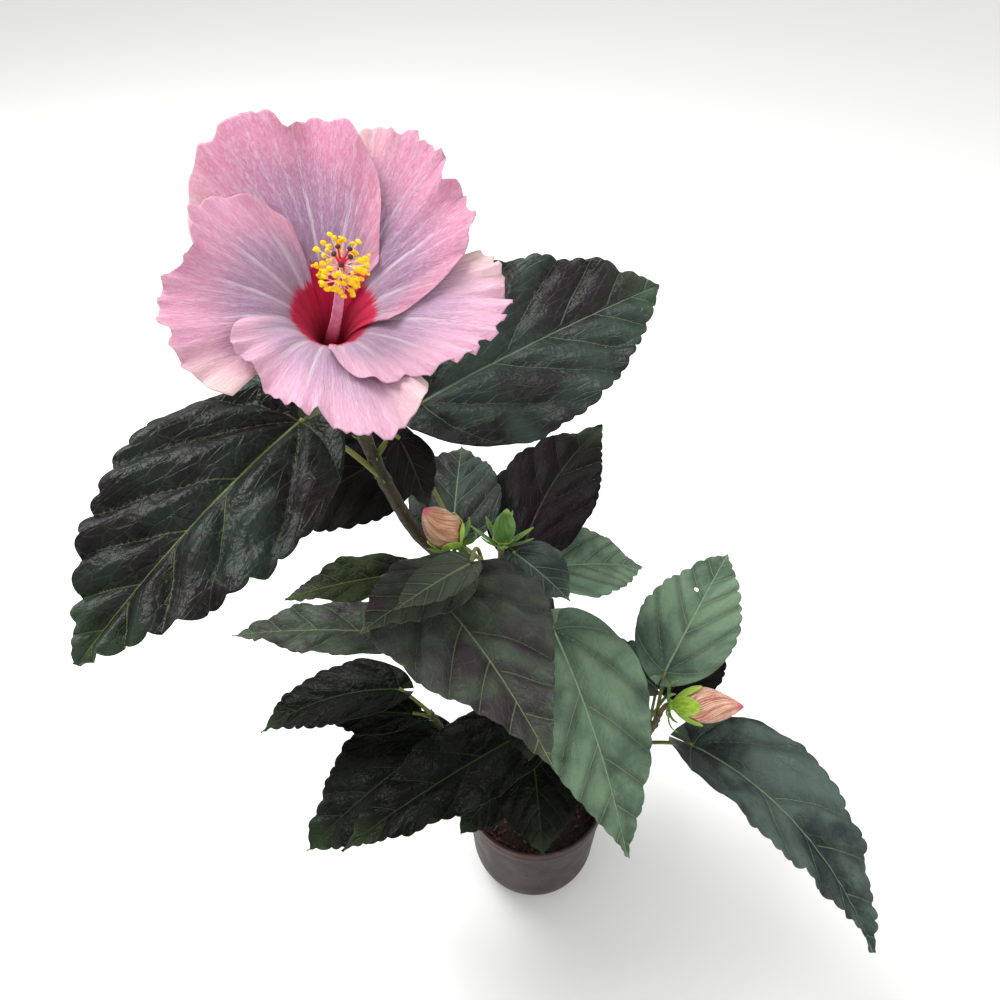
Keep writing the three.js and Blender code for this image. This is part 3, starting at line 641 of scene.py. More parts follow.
def grow_leaf(name, spec, seed):
    """Grows one leaf: a toothed, quilted blade, its stalk and the rib under the blade."""
    length, width = spec["length"], spec["width"]
    rows = int(np.clip(length / ROW_SPACING, 36, 140))
    share = np.linspace(0, 1, rows)
    columns = np.linspace(1, -1, 2 * HALF_COLUMNS + 1)
    centre, ahead, side, up = midrib(spec, share)
    t, a = np.meshgrid(share, columns, indexing="ij")
    half = np.maximum(blade_shape(share, spec["taper"]) * width / 2, 0.8)[:, None]
    shift = -LOBE * length * (1 - t) ** 4 * np.abs(a) ** 1.5

    edge_x = share * length - LOBE * length * (1 - share) ** 4
    margin = np.r_[0, np.cumsum(np.hypot(np.diff(edge_x), np.diff(half[:, 0])))][:, None]
    tooth_place = margin / spec["tooth"] + np.where(a > 0, 0.0, 0.37)
    tooth_place = tooth_place + 0.18 * ripple(t * 3, [1], seed)
    tooth = np.abs(np.sin(np.pi * tooth_place)) ** 0.6 - 0.6
    bite = spec["teeth"] * smooth(0.15, 0.5, t) * (1 - smooth(0.93, 1, t)) * np.abs(a) ** 6
    across = half * a + np.sign(a) * bite * tooth
    x = t * length + shift + 0.5 * bite * tooth
    phase, gap = vein_field(x, across, length)

    bulge = np.sin(np.pi * (phase % 1)) ** 0.8 * np.minimum(1, gap / 12)
    bulge = bulge * smooth(0, 7, np.abs(across))
    size = length / 120
    pockets = ripple(phase + 0.02 * across, [0.5, 0.83], seed + 5)
    pockets = pockets * ripple(across / 17 + t, [1.0], seed + 6)
    quilt = spec["quilt"] * size * (1.15 * bulge + 0.35 * pockets * smooth(0, 9, np.abs(across)))
    waves = ripple(margin / 30 + np.where(a > 0, 0, 0.4), [0.6, 1.0], seed + 1)
    ruffle = spec["ruffle"] * size * np.abs(a) ** 2.5 * waves * smooth(0.05, 0.3, t)
    sway = 1.2 * size * ripple(t * 1.5 + 0.4 * a, [1.0], seed + 2) * np.abs(a)
    pucker = ripple(phase * 2 + across / 9, [1.0, 1.7], seed + 7)
    pucker = 0.25 * size * pucker * ripple(across / 6, [1.0], seed + 8)
    groove = 0.8 * np.exp(-((across / 2.4) ** 2)) * (1 - 0.7 * t)
    fold = np.tan(np.radians(spec["fold"])) * half * np.abs(a)
    lift = fold + quilt + ruffle + sway + pucker - groove

    top = (centre[:, None] + side[:, None] * across[..., None] + up[:, None] * lift[..., None]
           + ahead[:, None] * (x - t * length)[..., None])
    thickness = BLADE_THICKNESS * (1 - 0.4 * np.abs(a) ** 2)
    under = top - up[:, None] * thickness[..., None]
    values = {"phase": phase, "gap": gap, "across": across, "along": t}
    parts = [blade((top, under), 0, **values)]

    place, stem_line = stem_place(spec["stem"], spec["at"])
    stalk = bowed(stem_line[place], spec["foot"], spec["arch"], 30)
    thick = 1.0 + 0.35 * min(size, 1.2)
    parts.append(tube(stalk, [thick * k for k in (1.35, 1.05, 0.95, 1.1)], 10, 2, STALK_WINDOW))
    rib_share = np.linspace(0, 0.97, 40)
    rib_centre, _, rib_side, rib_up = midrib(spec, rib_share)
    rib_radius = np.linspace(0.95 * thick, 0.25, 40)
    rib = rib_centre - rib_up * (0.9 * rib_radius + 0.9)[:, None]
    parts.append(tube(rib, rib_radius, 8, 2, RIB_WINDOW, side=rib_side[0]))
    skins = [*LEAF_SKINS[spec["finish"]], STALK]
    made = piece(f"leaf_{name}_blade", parts, skins, [f"leaf_{name}"])
    if spec["hole"]:
        along, aside, radius = spec["hole"]
        row, column = round(along * (rows - 1)), round((1 - aside) * HALF_COLUMNS)
        line = top[row, column] + up[row] * np.array([[-6.0], [0.0], [6.0]])
        drill(made, [tube(line, [radius, radius * 0.8], 14)])


for number, (leaf_name, leaf_spec) in enumerate(LEAVES.items()):
    grow_leaf(leaf_name, leaf_spec, 10 * number + 3)

# ---- stems -----------------------------------------------------------------------------------


def bark_skin():
    """Young bark: olive brown turning green higher up, with pale pores and fine furrows."""
    material, tree, surface = finish("young bark")
    along, around = field(tree, "along"), field(tree, "around")
    place = vector(tree, calc(tree, "MULTIPLY", around, 9.0), calc(tree, "MULTIPLY", along, 14.0))
    streaks = noise(tree, 3.0, place, detail=5.0, roughness=0.6)
    body = blend(tree, fade(tree, streaks, 0.3, 0.7), colour("#190f08"), colour("#372812"))
    body = washed(tree, body, fade(tree, field(tree, "fresh"), 0.2, 1.0), 0.45, "#5e5a20")
    pores = fade(tree, noise(tree, 450.0, detail=2.0), 0.62, 0.7)
    body = washed(tree, body, pores, 0.3, "#9a8a5c")
    height = calc(tree, "MULTIPLY_ADD", pores, 0.6, streaks)
    wire(tree, surface, Base_Color=body, Roughness=0.55, Normal=bump(tree, height, 0.6, 0.6))
    return material


BARK = bark_skin()
# How green the bark of each stem is.
FRESHNESS = {"main_stem": 0.2, "flower_branch": 0.6, "right_branch": 0.75, "left_branch": 0.8}


def stem_relief(name, seed):
    """The swellings of a stem at its leaf joints, over an uneven, slightly furrowed skin."""
    joints = [spec["at"] for spec in LEAVES.values() if spec["stem"] == name]
    joints += [at for stem, at, *_ in BUDS.values() if stem == name]

    def relief(angle, share):
        swell = sum(0.55 * np.exp(-(((share - at) / 0.014) ** 2)) for at in joints)
        furrow = 0.16 * ripple(angle / (2 * np.pi) * 5 + 2 * share, [1, 2], seed)
        lumps = 0.2 * ripple(share * 14 + 0.3 * np.sin(angle), [1, 1.7], seed + 1)
        return swell + furrow * (1 - share * 0.5) + lumps

    return relief


for number, (stem_name, (stem_points, stem_radius)) in enumerate(STEMS.items()):
    stem_line = curve_through(stem_points, 260)
    if stem_name == "main_stem":
        stem_line = np.vstack([stem_line[0] - (0, 0, 3), stem_line])
    made = tube(stem_line, stem_radius, 28, relief=stem_relief(stem_name, 50 + number))
    made["values"]["fresh"] = FRESHNESS[stem_name] * (0.6 + 0.4 * made["values"]["along"])
    piece(f"{stem_name}_bark", [made], [BARK], [stem_name])

# ---- pot and soil ----------------------------------------------------------------------------


def outer_radius(z):
    """The pot wall's outer radius: rounded at the heel and nearly upright above it."""
    top = POT["rim"] - POT["step"]
    knee = top - POT["flare"]
    z = np.asarray(z, float)
    heel = POT["foot"] + (knee - POT["foot"]) * np.sqrt(1 - (1 - np.clip(z / POT["heel"], 0, 1)) ** 2)
    wall = knee + (top - knee) * (z - POT["heel"]) / (POT["height"] - POT["band"] - POT["heel"])
    return np.where(z < POT["heel"], heel, wall)


def turned_part(profile, sides):
    """A closed solid of revolution about Z; the profile has the solid on its left."""
    profile = np.array(profile, float)
    rows = len(profile)
    angle = np.arange(sides) / sides * 2 * np.pi
    ring = np.stack([np.cos(angle), np.sin(angle), 0 * angle], 1)
    points = ring[None] * profile[:, None, :1] + np.array([0, 0, 1]) * profile[:, None, 1:]
    return part(points.reshape(-1, 3), [*ring_faces(rows, sides), *end_faces(rows, sides)])


def pot_skin():
    """Matt recycled plastic in taupe mauve, scuffed, with brown soil stains below the rim."""
    material, tree, surface = finish("pot plastic")
    place = put(tree, "ShaderNodeTexCoord").outputs["Object"]
    places = put(tree, "ShaderNodeSeparateXYZ", {0: place}).outputs
    height = places[2]
    mottled = noise(tree, 45.0, detail=5.0, roughness=0.6)
    body = blend(tree, fade(tree, mottled, 0.3, 0.7), colour("#1f0e10"), colour("#2d191c"))
    aside = fade(tree, places[0], -0.02, 0.04, 1.0, 0.45)
    near_rim = calc(tree, "MULTIPLY", fade(tree, height, 0.074, 0.092), aside)
    dirt = fade(tree, noise(tree, 160.0, detail=6.0, roughness=0.7), 0.5, 0.58)
    caked = fade(tree, calc(tree, "ADD", dirt, near_rim), 0.7, 1.0)
    caked = calc(tree, "MULTIPLY", near_rim, caked)
    stain = calc(tree, "MAXIMUM", caked, calc(tree, "MULTIPLY", dirt, 0.12))
    body = blend(tree, stain, body, colour("#3a1712"))
    dust = fade(tree, noise(tree, 520.0, detail=3.0), 0.6, 0.72)
    body = washed(tree, body, dust, 0.16, "#94878a")
    grain = noise(tree, 1400.0, detail=2.0)
    wire(tree, surface, Base_Color=body, Roughness=fade(tree, mottled, 0.3, 0.7, 0.42, 0.6),
         Normal=bump(tree, calc(tree, "MULTIPLY_ADD", dirt, 1.5, grain), 0.3, 0.3))
    return material


def soil_skin():
    """Moist potting soil: near black crumbs with brown fibres."""
    material, tree, surface = finish("moist soil")
    crumbs = noise(tree, 260.0, detail=8.0, roughness=0.7)
    body = blend(tree, fade(tree, crumbs, 0.35, 0.65), colour("#0d0807"), colour("#33211a"))
    wire(tree, surface, Base_Color=body, Roughness=0.85, Normal=bump(tree, crumbs, 1.0, 1.5))
    return material


def wood_bit_skin():
    """Bits of composted bark: reddish browns dealt out bit by bit."""
    material, tree, surface = finish("bark bits")
    body = blend(tree, field(tree, "tint"), colour("#1e100c"), colour("#6b3a2c"))
    fibre = noise(tree, 700.0, detail=4.0)
    body = washed(tree, body, fade(tree, fibre, 0.5, 0.7), 0.4, "#8c5c48")
    wire(tree, surface, Base_Color=body, Roughness=0.8, Normal=bump(tree, fibre, 0.8, 0.5))
    return material


def make_pot():
    """A thin-walled pot with a round heel, a rolled band at its rim and drain holes in its foot."""
    height, rim, band, wall, floor = (POT[k] for k in ("height", "rim", "band", "wall", "floor"))
    heel_z = POT["heel"] * (1 - np.cos(np.linspace(0.08, 1, 22) * np.pi / 2))
    outside = [(0.4, 0), (POT["foot"] - 6, 0), (POT["foot"] - 1, 0)]
    outside += [(float(outer_radius(z)), z) for z in heel_z]
    outside += [(float(outer_radius(z)), z)
                for z in np.linspace(POT["heel"] + 4, height - band - 0.6, 12)]
    lip = [(rim - 0.5, height - band - 0.3), (rim, height - band + 0.5), (rim, height - band + 4),
           (rim - 0.35, height - band + 5), (rim, height - band + 6), (rim, height - 1.2),
           (rim - 0.3, height - 0.35), (rim - 1.1, height), (rim - 2, height - 0.3),
           (rim - 2.6, height - 1.4)]
    inside = [(float(outer_radius(z)) - wall, z)
              for z in np.linspace(height - band, POT["heel"] + 2, 14)]
    inside += [(float(outer_radius(z)) - wall, z + 0.4) for z in heel_z[::-1][:-6]]
    inside += [(POT["foot"] - 2, floor), (0.4, floor)]
    shell = turned_part(outside + lip + inside, 144)
    made = piece("pot_shell", [shell], [pot_skin()], ["pot"])
    holes = []
    for k in range(DRAIN["holes"]):
        angle = (k + 0.5) / DRAIN["holes"] * 2 * math.pi
        foot = np.array([DRAIN["ring"] * math.cos(angle), DRAIN["ring"] * math.sin(angle), -2.0])
        line = evenly(np.array([foot, foot + (0, 0, 8)]), 3)
        holes.append(tube(line, [DRAIN["radius"]] * 2, 32))
    drill(made, holes)


def make_soil():
    """The bed of soil: a slight dome with crumbs of several sizes on it, clear of the pot's wall."""
    level = SOIL["level"]
    clear = 0.65
    wall = [(float(outer_radius(z)) - POT["wall"] - clear, z + clear)
            for z in np.linspace(3, level - clear, 20)]
    bed = wall[-1][0]
    steps = np.linspace(1, 0.004, 46)
    surface = [(bed * s, level + SOIL["dome"] * (1 - s**2)) for s in steps]
    base = [(0.2, POT["floor"] + 0.4), (POT["foot"] - 3, POT["floor"] + 0.4)]
    body = turned_part(base + wall + surface, 120)
    points = body["points"]
    reach = np.hypot(points[:, 0], points[:, 1])
    on_top = smooth(level - 0.4, level + 0.2, points[:, 2]) * smooth(0, 4, bed - reach)
    draw = np.random.default_rng(11)
    for scale, size in ((0.09, 0.8), (0.2, 0.55), (0.47, 0.4), (1.0, 0.25)):
        for _ in range(4):
            turn = draw.random() * 2 * np.pi
            wave = points[:, 0] * np.cos(turn) + points[:, 1] * np.sin(turn)
            points[:, 2] += on_top * size * 0.5 * np.sin(wave * scale * 2 * np.pi + draw.random() * 6)
    piece("soil_bed", [body], [soil_skin()], ["soil"])


def make_soil_bits():
    """Loose bits of bark: most lie over the soil, and the last ones cling inside the rim."""
    draw = np.random.default_rng(23)
    bits = []
    for number in range(BITS["all"]):
        reach = 49.0 * math.sqrt(draw.random())
        turn = draw.random() * 2 * math.pi
        length = 1.2 + 4.5 * draw.random() ** 2
        if reach < 7:
            continue
        height = SOIL["level"] + SOIL["dome"] * (1 - (reach / 52) ** 2) + draw.random() * 0.9
        if number > BITS["on_soil"]:
            reach, turn = 48.0, math.radians(200 + 75 * draw.random())
            height = SOIL["level"] + 10 * draw.random()
        foot = np.array([reach * math.cos(turn), reach * math.sin(turn), height])
        way = direction(draw.random() * 360, (draw.random() - 0.5) * 50)
        line = evenly(np.array([foot - way * length / 2, foot + way * length / 2]), 4)
        line = line + draw.normal(0, length * 0.05, line.shape)
        thick = length * (0.16 + 0.14 * draw.random())
        limit = POT["rim"] - POT["step"] - POT["wall"] - 2
        if np.hypot(line[:, 0], line[:, 1]).max() > limit - thick:
            continue
        bits.append(tube(line, [thick * 0.4, thick, thick * 0.8, thick * 0.3], 6, tint=draw.random()))
    piece("soil_bits", without_uv(bits), [wood_bit_skin()])


make_pot()
make_soil()
make_soil_bits()

# ---- bloom -----------------------------------------------------------------------------------
bloom_axis = unit(BLOOM["axis"])
bloom_right = unit(np.array([1, 0, 0]) - bloom_axis[0] * bloom_axis)
bloom_up = np.cross(bloom_axis, bloom_right)
throat = np.array(BLOOM["throat"], float)

# Each petal: the way it points round the bloom, how far out its crimson eye ends as a share of the
# bloom's radius, how pale it is painted (painted light: the lower petals are made paler for the sky
# light on their upturned faces), how strongly its margin crimps, its notches as (place across, width,
# depth, curl), and its reach in millimetres at even steps from its clockwise side to the other.
PETALS = {
    "top": {"heading": 106, "eye": 0.265, "pale": 0.0, "crimp": 0.6,
            "notches": [(0.02, 0.09, 0.09, 5)],
            "reach": (30, 43, 69, 87, 93, 97, 88, 77, 62)},
    "upper_right": {"heading": 40, "eye": 0.225, "pale": 0.12, "crimp": 1.2,
                    "notches": [(0.22, 0.05, 0.1, 7)],
                    "reach": (27, 33, 47, 66, 79, 88, 95, 90, 74)},
    "lower_right": {"heading": -30, "eye": 0.195, "pale": 0.85, "crimp": 2.2,
                    "notches": [],
                    "reach": (27, 41, 50, 55, 64, 71, 79, 78, 74)},
    "bottom": {"heading": -98, "eye": 0.18, "pale": 0.85, "crimp": 2.0,
               "notches": [(0.12, 0.05, 0.08, 2)],
               "reach": (40, 50, 51, 56, 62, 68, 74, 69, 58)},
    "left": {"heading": 178, "eye": 0.195, "pale": 0.3, "crimp": 1.0,
             "notches": [(-0.14, 0.13, 0.1, 6)],
             "reach": (38, 60, 69, 66, 67, 72, 71, 71, 64)},
}
PETAL_STEPS = np.linspace(-1, 1, 9)
MAIN_VEINS = 2.6


def eased(place, steps, values):
    """values at steps, joined by a smooth curve through them."""
    slopes = np.gradient(values, steps)
    k = np.clip(np.searchsorted(steps, place) - 1, 0, len(steps) - 2)
    span = steps[k + 1] - steps[k]
    t = (place - steps[k]) / span
    low, high = np.array(values)[k], np.array(values)[k + 1]
    return ((2 * t**3 - 3 * t**2 + 1) * low + (t**3 - 2 * t**2 + t) * span * slopes[k]
            + (3 * t**2 - 2 * t**3) * high + (t**3 - t**2) * span * slopes[k + 1])


def vein_lane(tree, wave, out, count, wide, slim):
    """A fan of lines across a petal, tapering outwards from wide to slim millimetres."""
    lane = calc(tree, "FRACT", calc(tree, "MULTIPLY_ADD", wave, count, 100.5))
    apart = calc(tree, "ABSOLUTE", about_nought(tree, lane))
    distance = calc(tree, "MULTIPLY", calc(tree, "MULTIPLY", apart, BLOOM["radius"] / count), out)
    width = fade(tree, out, 0.2, 0.9, wide, slim)
    return fade(tree, calc(tree, "DIVIDE", distance, width), 0.15, 1.0, 1.0, 0.0)


def petal_skin(name, pale, eye_edge):
    """A petal: crimson eye feathering out through white and lavender to a pink margin, painted paler on
    the lower petals for the light on them.
    """
    material, tree, surface = finish(name)
    out, turn, edge = field(tree, "out"), field(tree, "turn"), field(tree, "edge")
    fan = vector(tree, calc(tree, "MULTIPLY", turn, 22.0), calc(tree, "MULTIPLY", out, 3.0), pale * 9)
    streaks = noise(tree, 1.8, fan, detail=6.0, roughness=0.7)
    broad = noise(tree, 30.0, detail=4.0)
    creases = vector(tree, calc(tree, "MULTIPLY", turn, 60.0), calc(tree, "MULTIPLY", out, 26.0),
                     pale * 5)
    puckers = noise(tree, 1.0, creases, detail=6.0, roughness=0.75, distortion=0.8)
    # painted light: pale lightens the pink and lavender of the lower petals, standing in for the sky
    # light on their upturned faces
    pink = blend(tree, pale, colour("#d483a2"), colour("#e6b0ca"))
    lavender = blend(tree, pale, colour("#9a7195"), colour("#bb94b6"))
    reach = calc(tree, "MULTIPLY_ADD", about_nought(tree, streaks), 0.3, edge)
    reach = calc(tree, "MULTIPLY_ADD", about_nought(tree, broad), 0.4, reach)
    body = blend(tree, fade(tree, reach, 0.4, 0.92), lavender, pink)
    body = blend(tree, fade(tree, edge, 0.93, 1.0, 0.0, 0.35), body, colour("#e2a2bd"))
    pale_throat = calc(tree, "MULTIPLY_ADD", about_nought(tree, streaks), 0.3, out)
    body = blend(tree, fade(tree, pale_throat, 0.22, 0.4, 0.3, 0.0), body, colour("#cdb4c6"))
    drift = about_nought(tree, noise(tree, 4.0, fan, detail=2.0))
    wave = calc(tree, "MULTIPLY_ADD", drift, 0.06, turn)
    mains = vein_lane(tree, wave, out, MAIN_VEINS, 1.7, 0.7)
    mains = calc(tree, "MULTIPLY", mains, fade(tree, edge, 0.45, 0.9, 1.0, 0.0))
    body = washed(tree, body, mains, 0.55, "#e6d6e2")
    wave = calc(tree, "MULTIPLY_ADD", drift, 0.1, turn)
    branches = vein_lane(tree, wave, out, MAIN_VEINS * 3.3, 0.9, 0.7)
    branches = calc(tree, "MULTIPLY", branches, fade(tree, edge, 0.25, 0.5))
    body = washed(tree, body, branches, 0.2, "#e9dae6")
    # pale mottle where the crinkles rise: partly the petal's own mottling and partly painted light on
    # the crinkle ridges raised by the same noise in the bump
    body = blend(tree, fade(tree, puckers, 0.44, 0.6, 0.0, 0.26), body, colour("#ead6e2"))
    cream = calc(tree, "MULTIPLY", fade(tree, turn, 0.5, 0.95), fade(tree, edge, 0.6, 1.0))
    body = washed(tree, body, cream, 0.75, "#f4dcd2")
    feather = calc(tree, "MULTIPLY_ADD", about_nought(tree, streaks), 0.17, out)
    eye = fade(tree, feather, eye_edge, eye_edge + 0.02, 1.0, 0.0)
    body = blend(tree, eye, body, colour("#d60048"))
    height = calc(tree, "MULTIPLY_ADD", mains, -0.6, calc(tree, "ADD", puckers, streaks))
    wire(tree, surface, Base_Color=body, Roughness=0.6, Normal=bump(tree, height, 0.9, 1.2),
         Sheen_Weight=0.1, Specular_IOR_Level=0.25)
    return material


def grow_petal(name, spec, seed):
    """Grows one petal: a claw in the throat, a funnel, then a limb that frills towards its margin."""
    rows, half_columns = 84, 40
    columns = np.linspace(1, -1, 2 * half_columns + 1)
    s, a = np.meshgrid(np.linspace(0, 1, rows), columns, indexing="ij")
    half_angle = math.radians(BLOOM["half_angle"])
    reach = eased(a, PETAL_STEPS, spec["reach"])
    spread = half_angle * (0.72 + 0.28 * np.sin(np.minimum(s * 1.6, 1) * np.pi / 2))
    margin = a * half_angle * reach / 9
    outline = 1 + 0.02 * s**4 * ripple(margin * 0.5, [1, 1.6], seed)
    outline = outline + 0.006 * spec["crimp"] * s**10 * ripple(margin, [0.8, 1.0, 1.7], seed + 4)
    curl = 0
    for place, width, depth, height in spec["notches"]:
        dent = np.exp(-(((a - place) / width) ** 2))
        outline = outline - depth * s**5 * dent
        curl = curl + height * s**6 * dent
    crimp = 1.3 * spec["crimp"] * s**8 * ripple(margin, [0.8, 1.0, 1.7], seed + 1)
    radius = BLOOM["root"] + (reach * outline - BLOOM["root"]) * s
    turn = math.radians(spec["heading"]) + spread * a
    beyond = radius - BLOOM["claw"]
    funnel = BLOOM["depth"] * (1 - np.exp(-beyond / BLOOM["flare"])) + BLOOM["slope"] * beyond
    share = radius / BLOOM["radius"]
    overlap = BLOOM["step"] * share * (-spread * a / math.radians(72))
    frill = ripple(a * 1.3, [1, 1.8], seed + 2) * s**2.5 * 3.2
    pleats = -0.55 * np.cos(a * MAIN_VEINS * 2 * np.pi) * smooth(0.1, 0.4, s) * (1 - s**3)
    keep_side = -np.tanh(3 * a) * 1.8 * s**3 * np.abs(a)
    height = funnel + overlap + frill + pleats + crimp + curl + keep_side
    top = (throat + bloom_right * (radius * np.cos(turn))[..., None]
           + bloom_up * (radius * np.sin(turn))[..., None] + bloom_axis * height[..., None])
    under = top - bloom_axis * 0.5
    limb = blade((top, under), 0, out=share, turn=a, edge=s)
    skin = petal_skin(f"petal {name.replace('_', ' ')}", spec["pale"], spec["eye"])
    piece(f"petal_{name}_ruffled", [limb], [skin, skin], [f"petal_{name}"])


for number, (petal_name, petal_spec) in enumerate(PETALS.items()):
    grow_petal(petal_name, petal_spec, 300 + 10 * number)


def plain_skin(name, low, high, scale, roughness):
    """A living skin of two close colours in small patches."""
    material, tree, surface = finish(name)
    mottle = noise(tree, scale, detail=4.0)
    body = blend(tree, fade(tree, mottle, 0.3, 0.7), colour(low), colour(high))
    wire(tree, surface, Base_Color=body, Roughness=roughness, Normal=bump(tree, mottle, 0.5, 0.3))
    return material


def column_skin():
    """The stamen tube: crimson at its foot, pale pink above, red at the style."""
    material, tree, surface = finish("stamen tube")
    along = field(tree, "along")
    streaks = noise(tree, 320.0, detail=3.0)
    body = blend(tree, fade(tree, streaks, 0.3, 0.7), colour("#d98bab"), colour("#e7a9c3"))
    body = blend(tree, fade(tree, along, 0.03, 0.3, 1.0, 0.0), body, colour("#b01d4c"))
    body = blend(tree, fade(tree, along, 0.55, 0.85), body, colour("#d4284a"))
    wire(tree, surface, Base_Color=body, Roughness=0.4, Normal=bump(tree, streaks, 0.3, 0.3))
    return material


def blob(centre, radii, axis, rows, sides, material, lobed=0.0, **values):
    """A small rounded body about an axis: radii across and along it, and how two-lobed it is."""
    across = unit(np.cross(axis, (0.31, 0.2, 0.93)))
    up = np.cross(axis, across)
    polar = np.linspace(0, np.pi, rows + 2)[1:-1]
    angle = np.arange(sides) / sides * 2 * np.pi
    swell = 1 + lobed * np.cos(2 * angle)
    rings = [centre - axis * radii[1] * math.cos(p) + math.sin(p) * radii[0] * swell[:, None]
             * (np.cos(angle)[:, None] * across + np.sin(angle)[:, None] * up) for p in polar]
    points = np.vstack(rings + [centre - axis * radii[1], centre + axis * radii[1]])
    last = rows * sides
    faces = [list(f) for f in ring_faces(rows, sides)]
    k = np.arange(sides)
    faces += [[last, (i + 1) % sides, i] for i in k]
    faces += [[last + 1, last - sides + i, last - sides + (i + 1) % sides] for i in k]
    return part(points, faces, material, **values)


def anther_skin():
    """Pollen sacs: bright yellow to orange, grainy, dealt out one by one."""
    material, tree, surface = finish("anther")
    body = blend(tree, field(tree, "tint"), colour("#fcc900"), colour("#ffe01f"))
    grain = noise(tree, 2600.0, detail=3.0)
    body = blend(tree, fade(tree, grain, 0.55, 0.75), body, colour("#f0b000"))
    wire(tree, surface, Base_Color=body, Roughness=0.85, Normal=bump(tree, grain, 0.9, 0.4))
    return material


ANTHERS = 74
STYLE_BRANCHES = 5


def make_column():
    """The stamen column: its tube, five style branches with their stigmas, and a cloud of anthers."""
    steps = 90
    axis = unit(bloom_axis + COLUMN["lean"] * bloom_right)
    across = unit(np.cross(axis, bloom_up))
    up = np.cross(axis, across)
    draw = np.random.default_rng(41)
    line = evenly(np.array([throat - axis * 1, throat + axis * COLUMN["style_top"]]), steps)
    bend = np.sin(np.linspace(0, 1, steps) * np.pi)[:, None]
    line = line + bend * 1.2 * bloom_right
    stalk = COLUMN["stalk"]

    def ridges(angle, share):
        return 0.12 * np.cos(5 * angle) * (1 - share) + 0.08 * ripple(share * 12, [1, 2], 5)

    widths = [stalk + 0.9, stalk, stalk * 0.9, stalk * 0.8, stalk * 0.55]
    parts = [tube(line, widths, 20, 0, relief=ridges)]
    style_top = line[-1]
    for k in range(STYLE_BRANCHES):
        out = spoke(across, up, k / STYLE_BRANCHES * 2 * np.pi + 0.3)
        tip = style_top + out * (4.8 if k % 2 else 3.6) + axis * (3.2 if k % 2 else 4.6)
        branch = bowed(style_top - axis * 3, tip, 0.0, 8)
        parts.append(tube(branch, [0.7, 0.5, 0.45], 8, 0))
        parts[-1]["values"]["along"] = 0 * parts[-1]["values"]["along"] + 1
        parts.append(blob(tip, (1.25, 0.8), unit(axis + 0.4 * out), 6, 12, 1))
    for k in range(ANTHERS):
        place = (k + 0.5) / ANTHERS
        out = spoke(across, up, k * GOLDEN_ANGLE + draw.normal(0, 0.12))
        at = COLUMN["head_from"] + (COLUMN["head_to"] - COLUMN["head_from"]) * place**0.8
        foot = line[int(at / COLUMN["style_top"] * (steps - 1))]
        reach = (8.2 + 1.8 * place) * (0.8 + 0.3 * draw.random())
        tip = foot + out * reach + axis * (1.5 + 9 * place * draw.random())
        parts.append(tube(bowed(foot, tip, 0.05, 7), [0.28, 0.22], 6, 2))
        way = unit(out * 0.3 + draw.normal(0, 0.6, 3) + axis)
        radii = (1.25 + 0.3 * draw.random(), 0.95)
        parts.append(blob(tip, radii, way, 5, 10, 3, 0.22, tint=draw.random()))
        if draw.random() < 0.6:
            beside = tip + draw.normal(0, 0.9, 3)
            parts.append(blob(beside, (0.8, 0.65), way, 4, 8, 3, 0.2, tint=draw.random()))
    skins = [column_skin(), plain_skin("stigma", "#33060d", "#5c0c18", 1500, 0.7),
             plain_skin("filament", "#efc9d3", "#f6dfe2", 600, 0.5), anther_skin()]
    piece("stamens_column", without_uv(parts), skins, ["stamens"])


make_column()

# ---- calyces, bracts and buds ----------------------------------------------------------------


def calyx_skin(name, low, high):
    """Calyx green: paler along the ribs and towards the edges."""
    material, tree, surface = finish(name)
    along, around = field(tree, "along"), field(tree, "around")
    place = vector(tree, calc(tree, "MULTIPLY", around, 12.0), calc(tree, "MULTIPLY", along, 2.0))
    ribs = noise(tree, 3.0, place, detail=4.0)
    body = blend(tree, fade(tree, ribs, 0.35, 0.65), colour(low), colour(high))
    body = blend(tree, fade(tree, along, 0.5, 1.0, 0.0, 0.35), body, colour("#b9cf5e"))
    wire(tree, surface, Base_Color=body, Roughness=0.45, Normal=bump(tree, ribs, 0.5, 0.5),
         Sheen_Weight=0.2)
    return material


CALYX = calyx_skin("calyx green", "#76a210", "#a6cb22")
BRACT = calyx_skin("bract green", "#2b540f", "#669a22")
BUD_STALK = green_stalk("bud stalk", "#4a3a1e", "#6c6428")


def bud_radius(share, radius):
    """A bud's radius at a share of its length."""
    return radius * np.sin(np.pi * share**0.8) ** 0.8


def bract(foot, out, axis, length, width, lift, hook, material=0):
    """A slender bract from foot: it goes outward by out, is raised by lift, and its tip hooks up.

    It is made of one material on both sides.
    """
    rows, half_columns = 22, 3
    t = np.linspace(0, 1, rows)
    angle = np.radians(lift + hook * t**1.6)
    step = (out[None] * np.cos(angle)[:, None] + axis[None] * np.sin(angle)[:, None]) * length / rows
    centre = foot + np.cumsum(step, axis=0)
    ahead = unit(np.gradient(centre, axis=0))
    side = unit(np.cross(axis, out))
    up = np.cross(ahead, np.broadcast_to(side, ahead.shape))
    half = width / 2 * (t + 0.05) ** 0.5 * (1.01 - t) ** 0.8 * 1.75
    s, a = np.meshgrid(t, np.linspace(1, -1, 2 * half_columns + 1), indexing="ij")
    lift_edge = 0.35 * half[:, None] * a**2
    top = (centre[:, None] + side * (half[:, None] * a)[..., None]
           + up[:, None] * lift_edge[..., None])
    under = top - up[:, None] * 0.45
    return {**blade((top, under), along=s, around=a), "material": material, "uv": None}


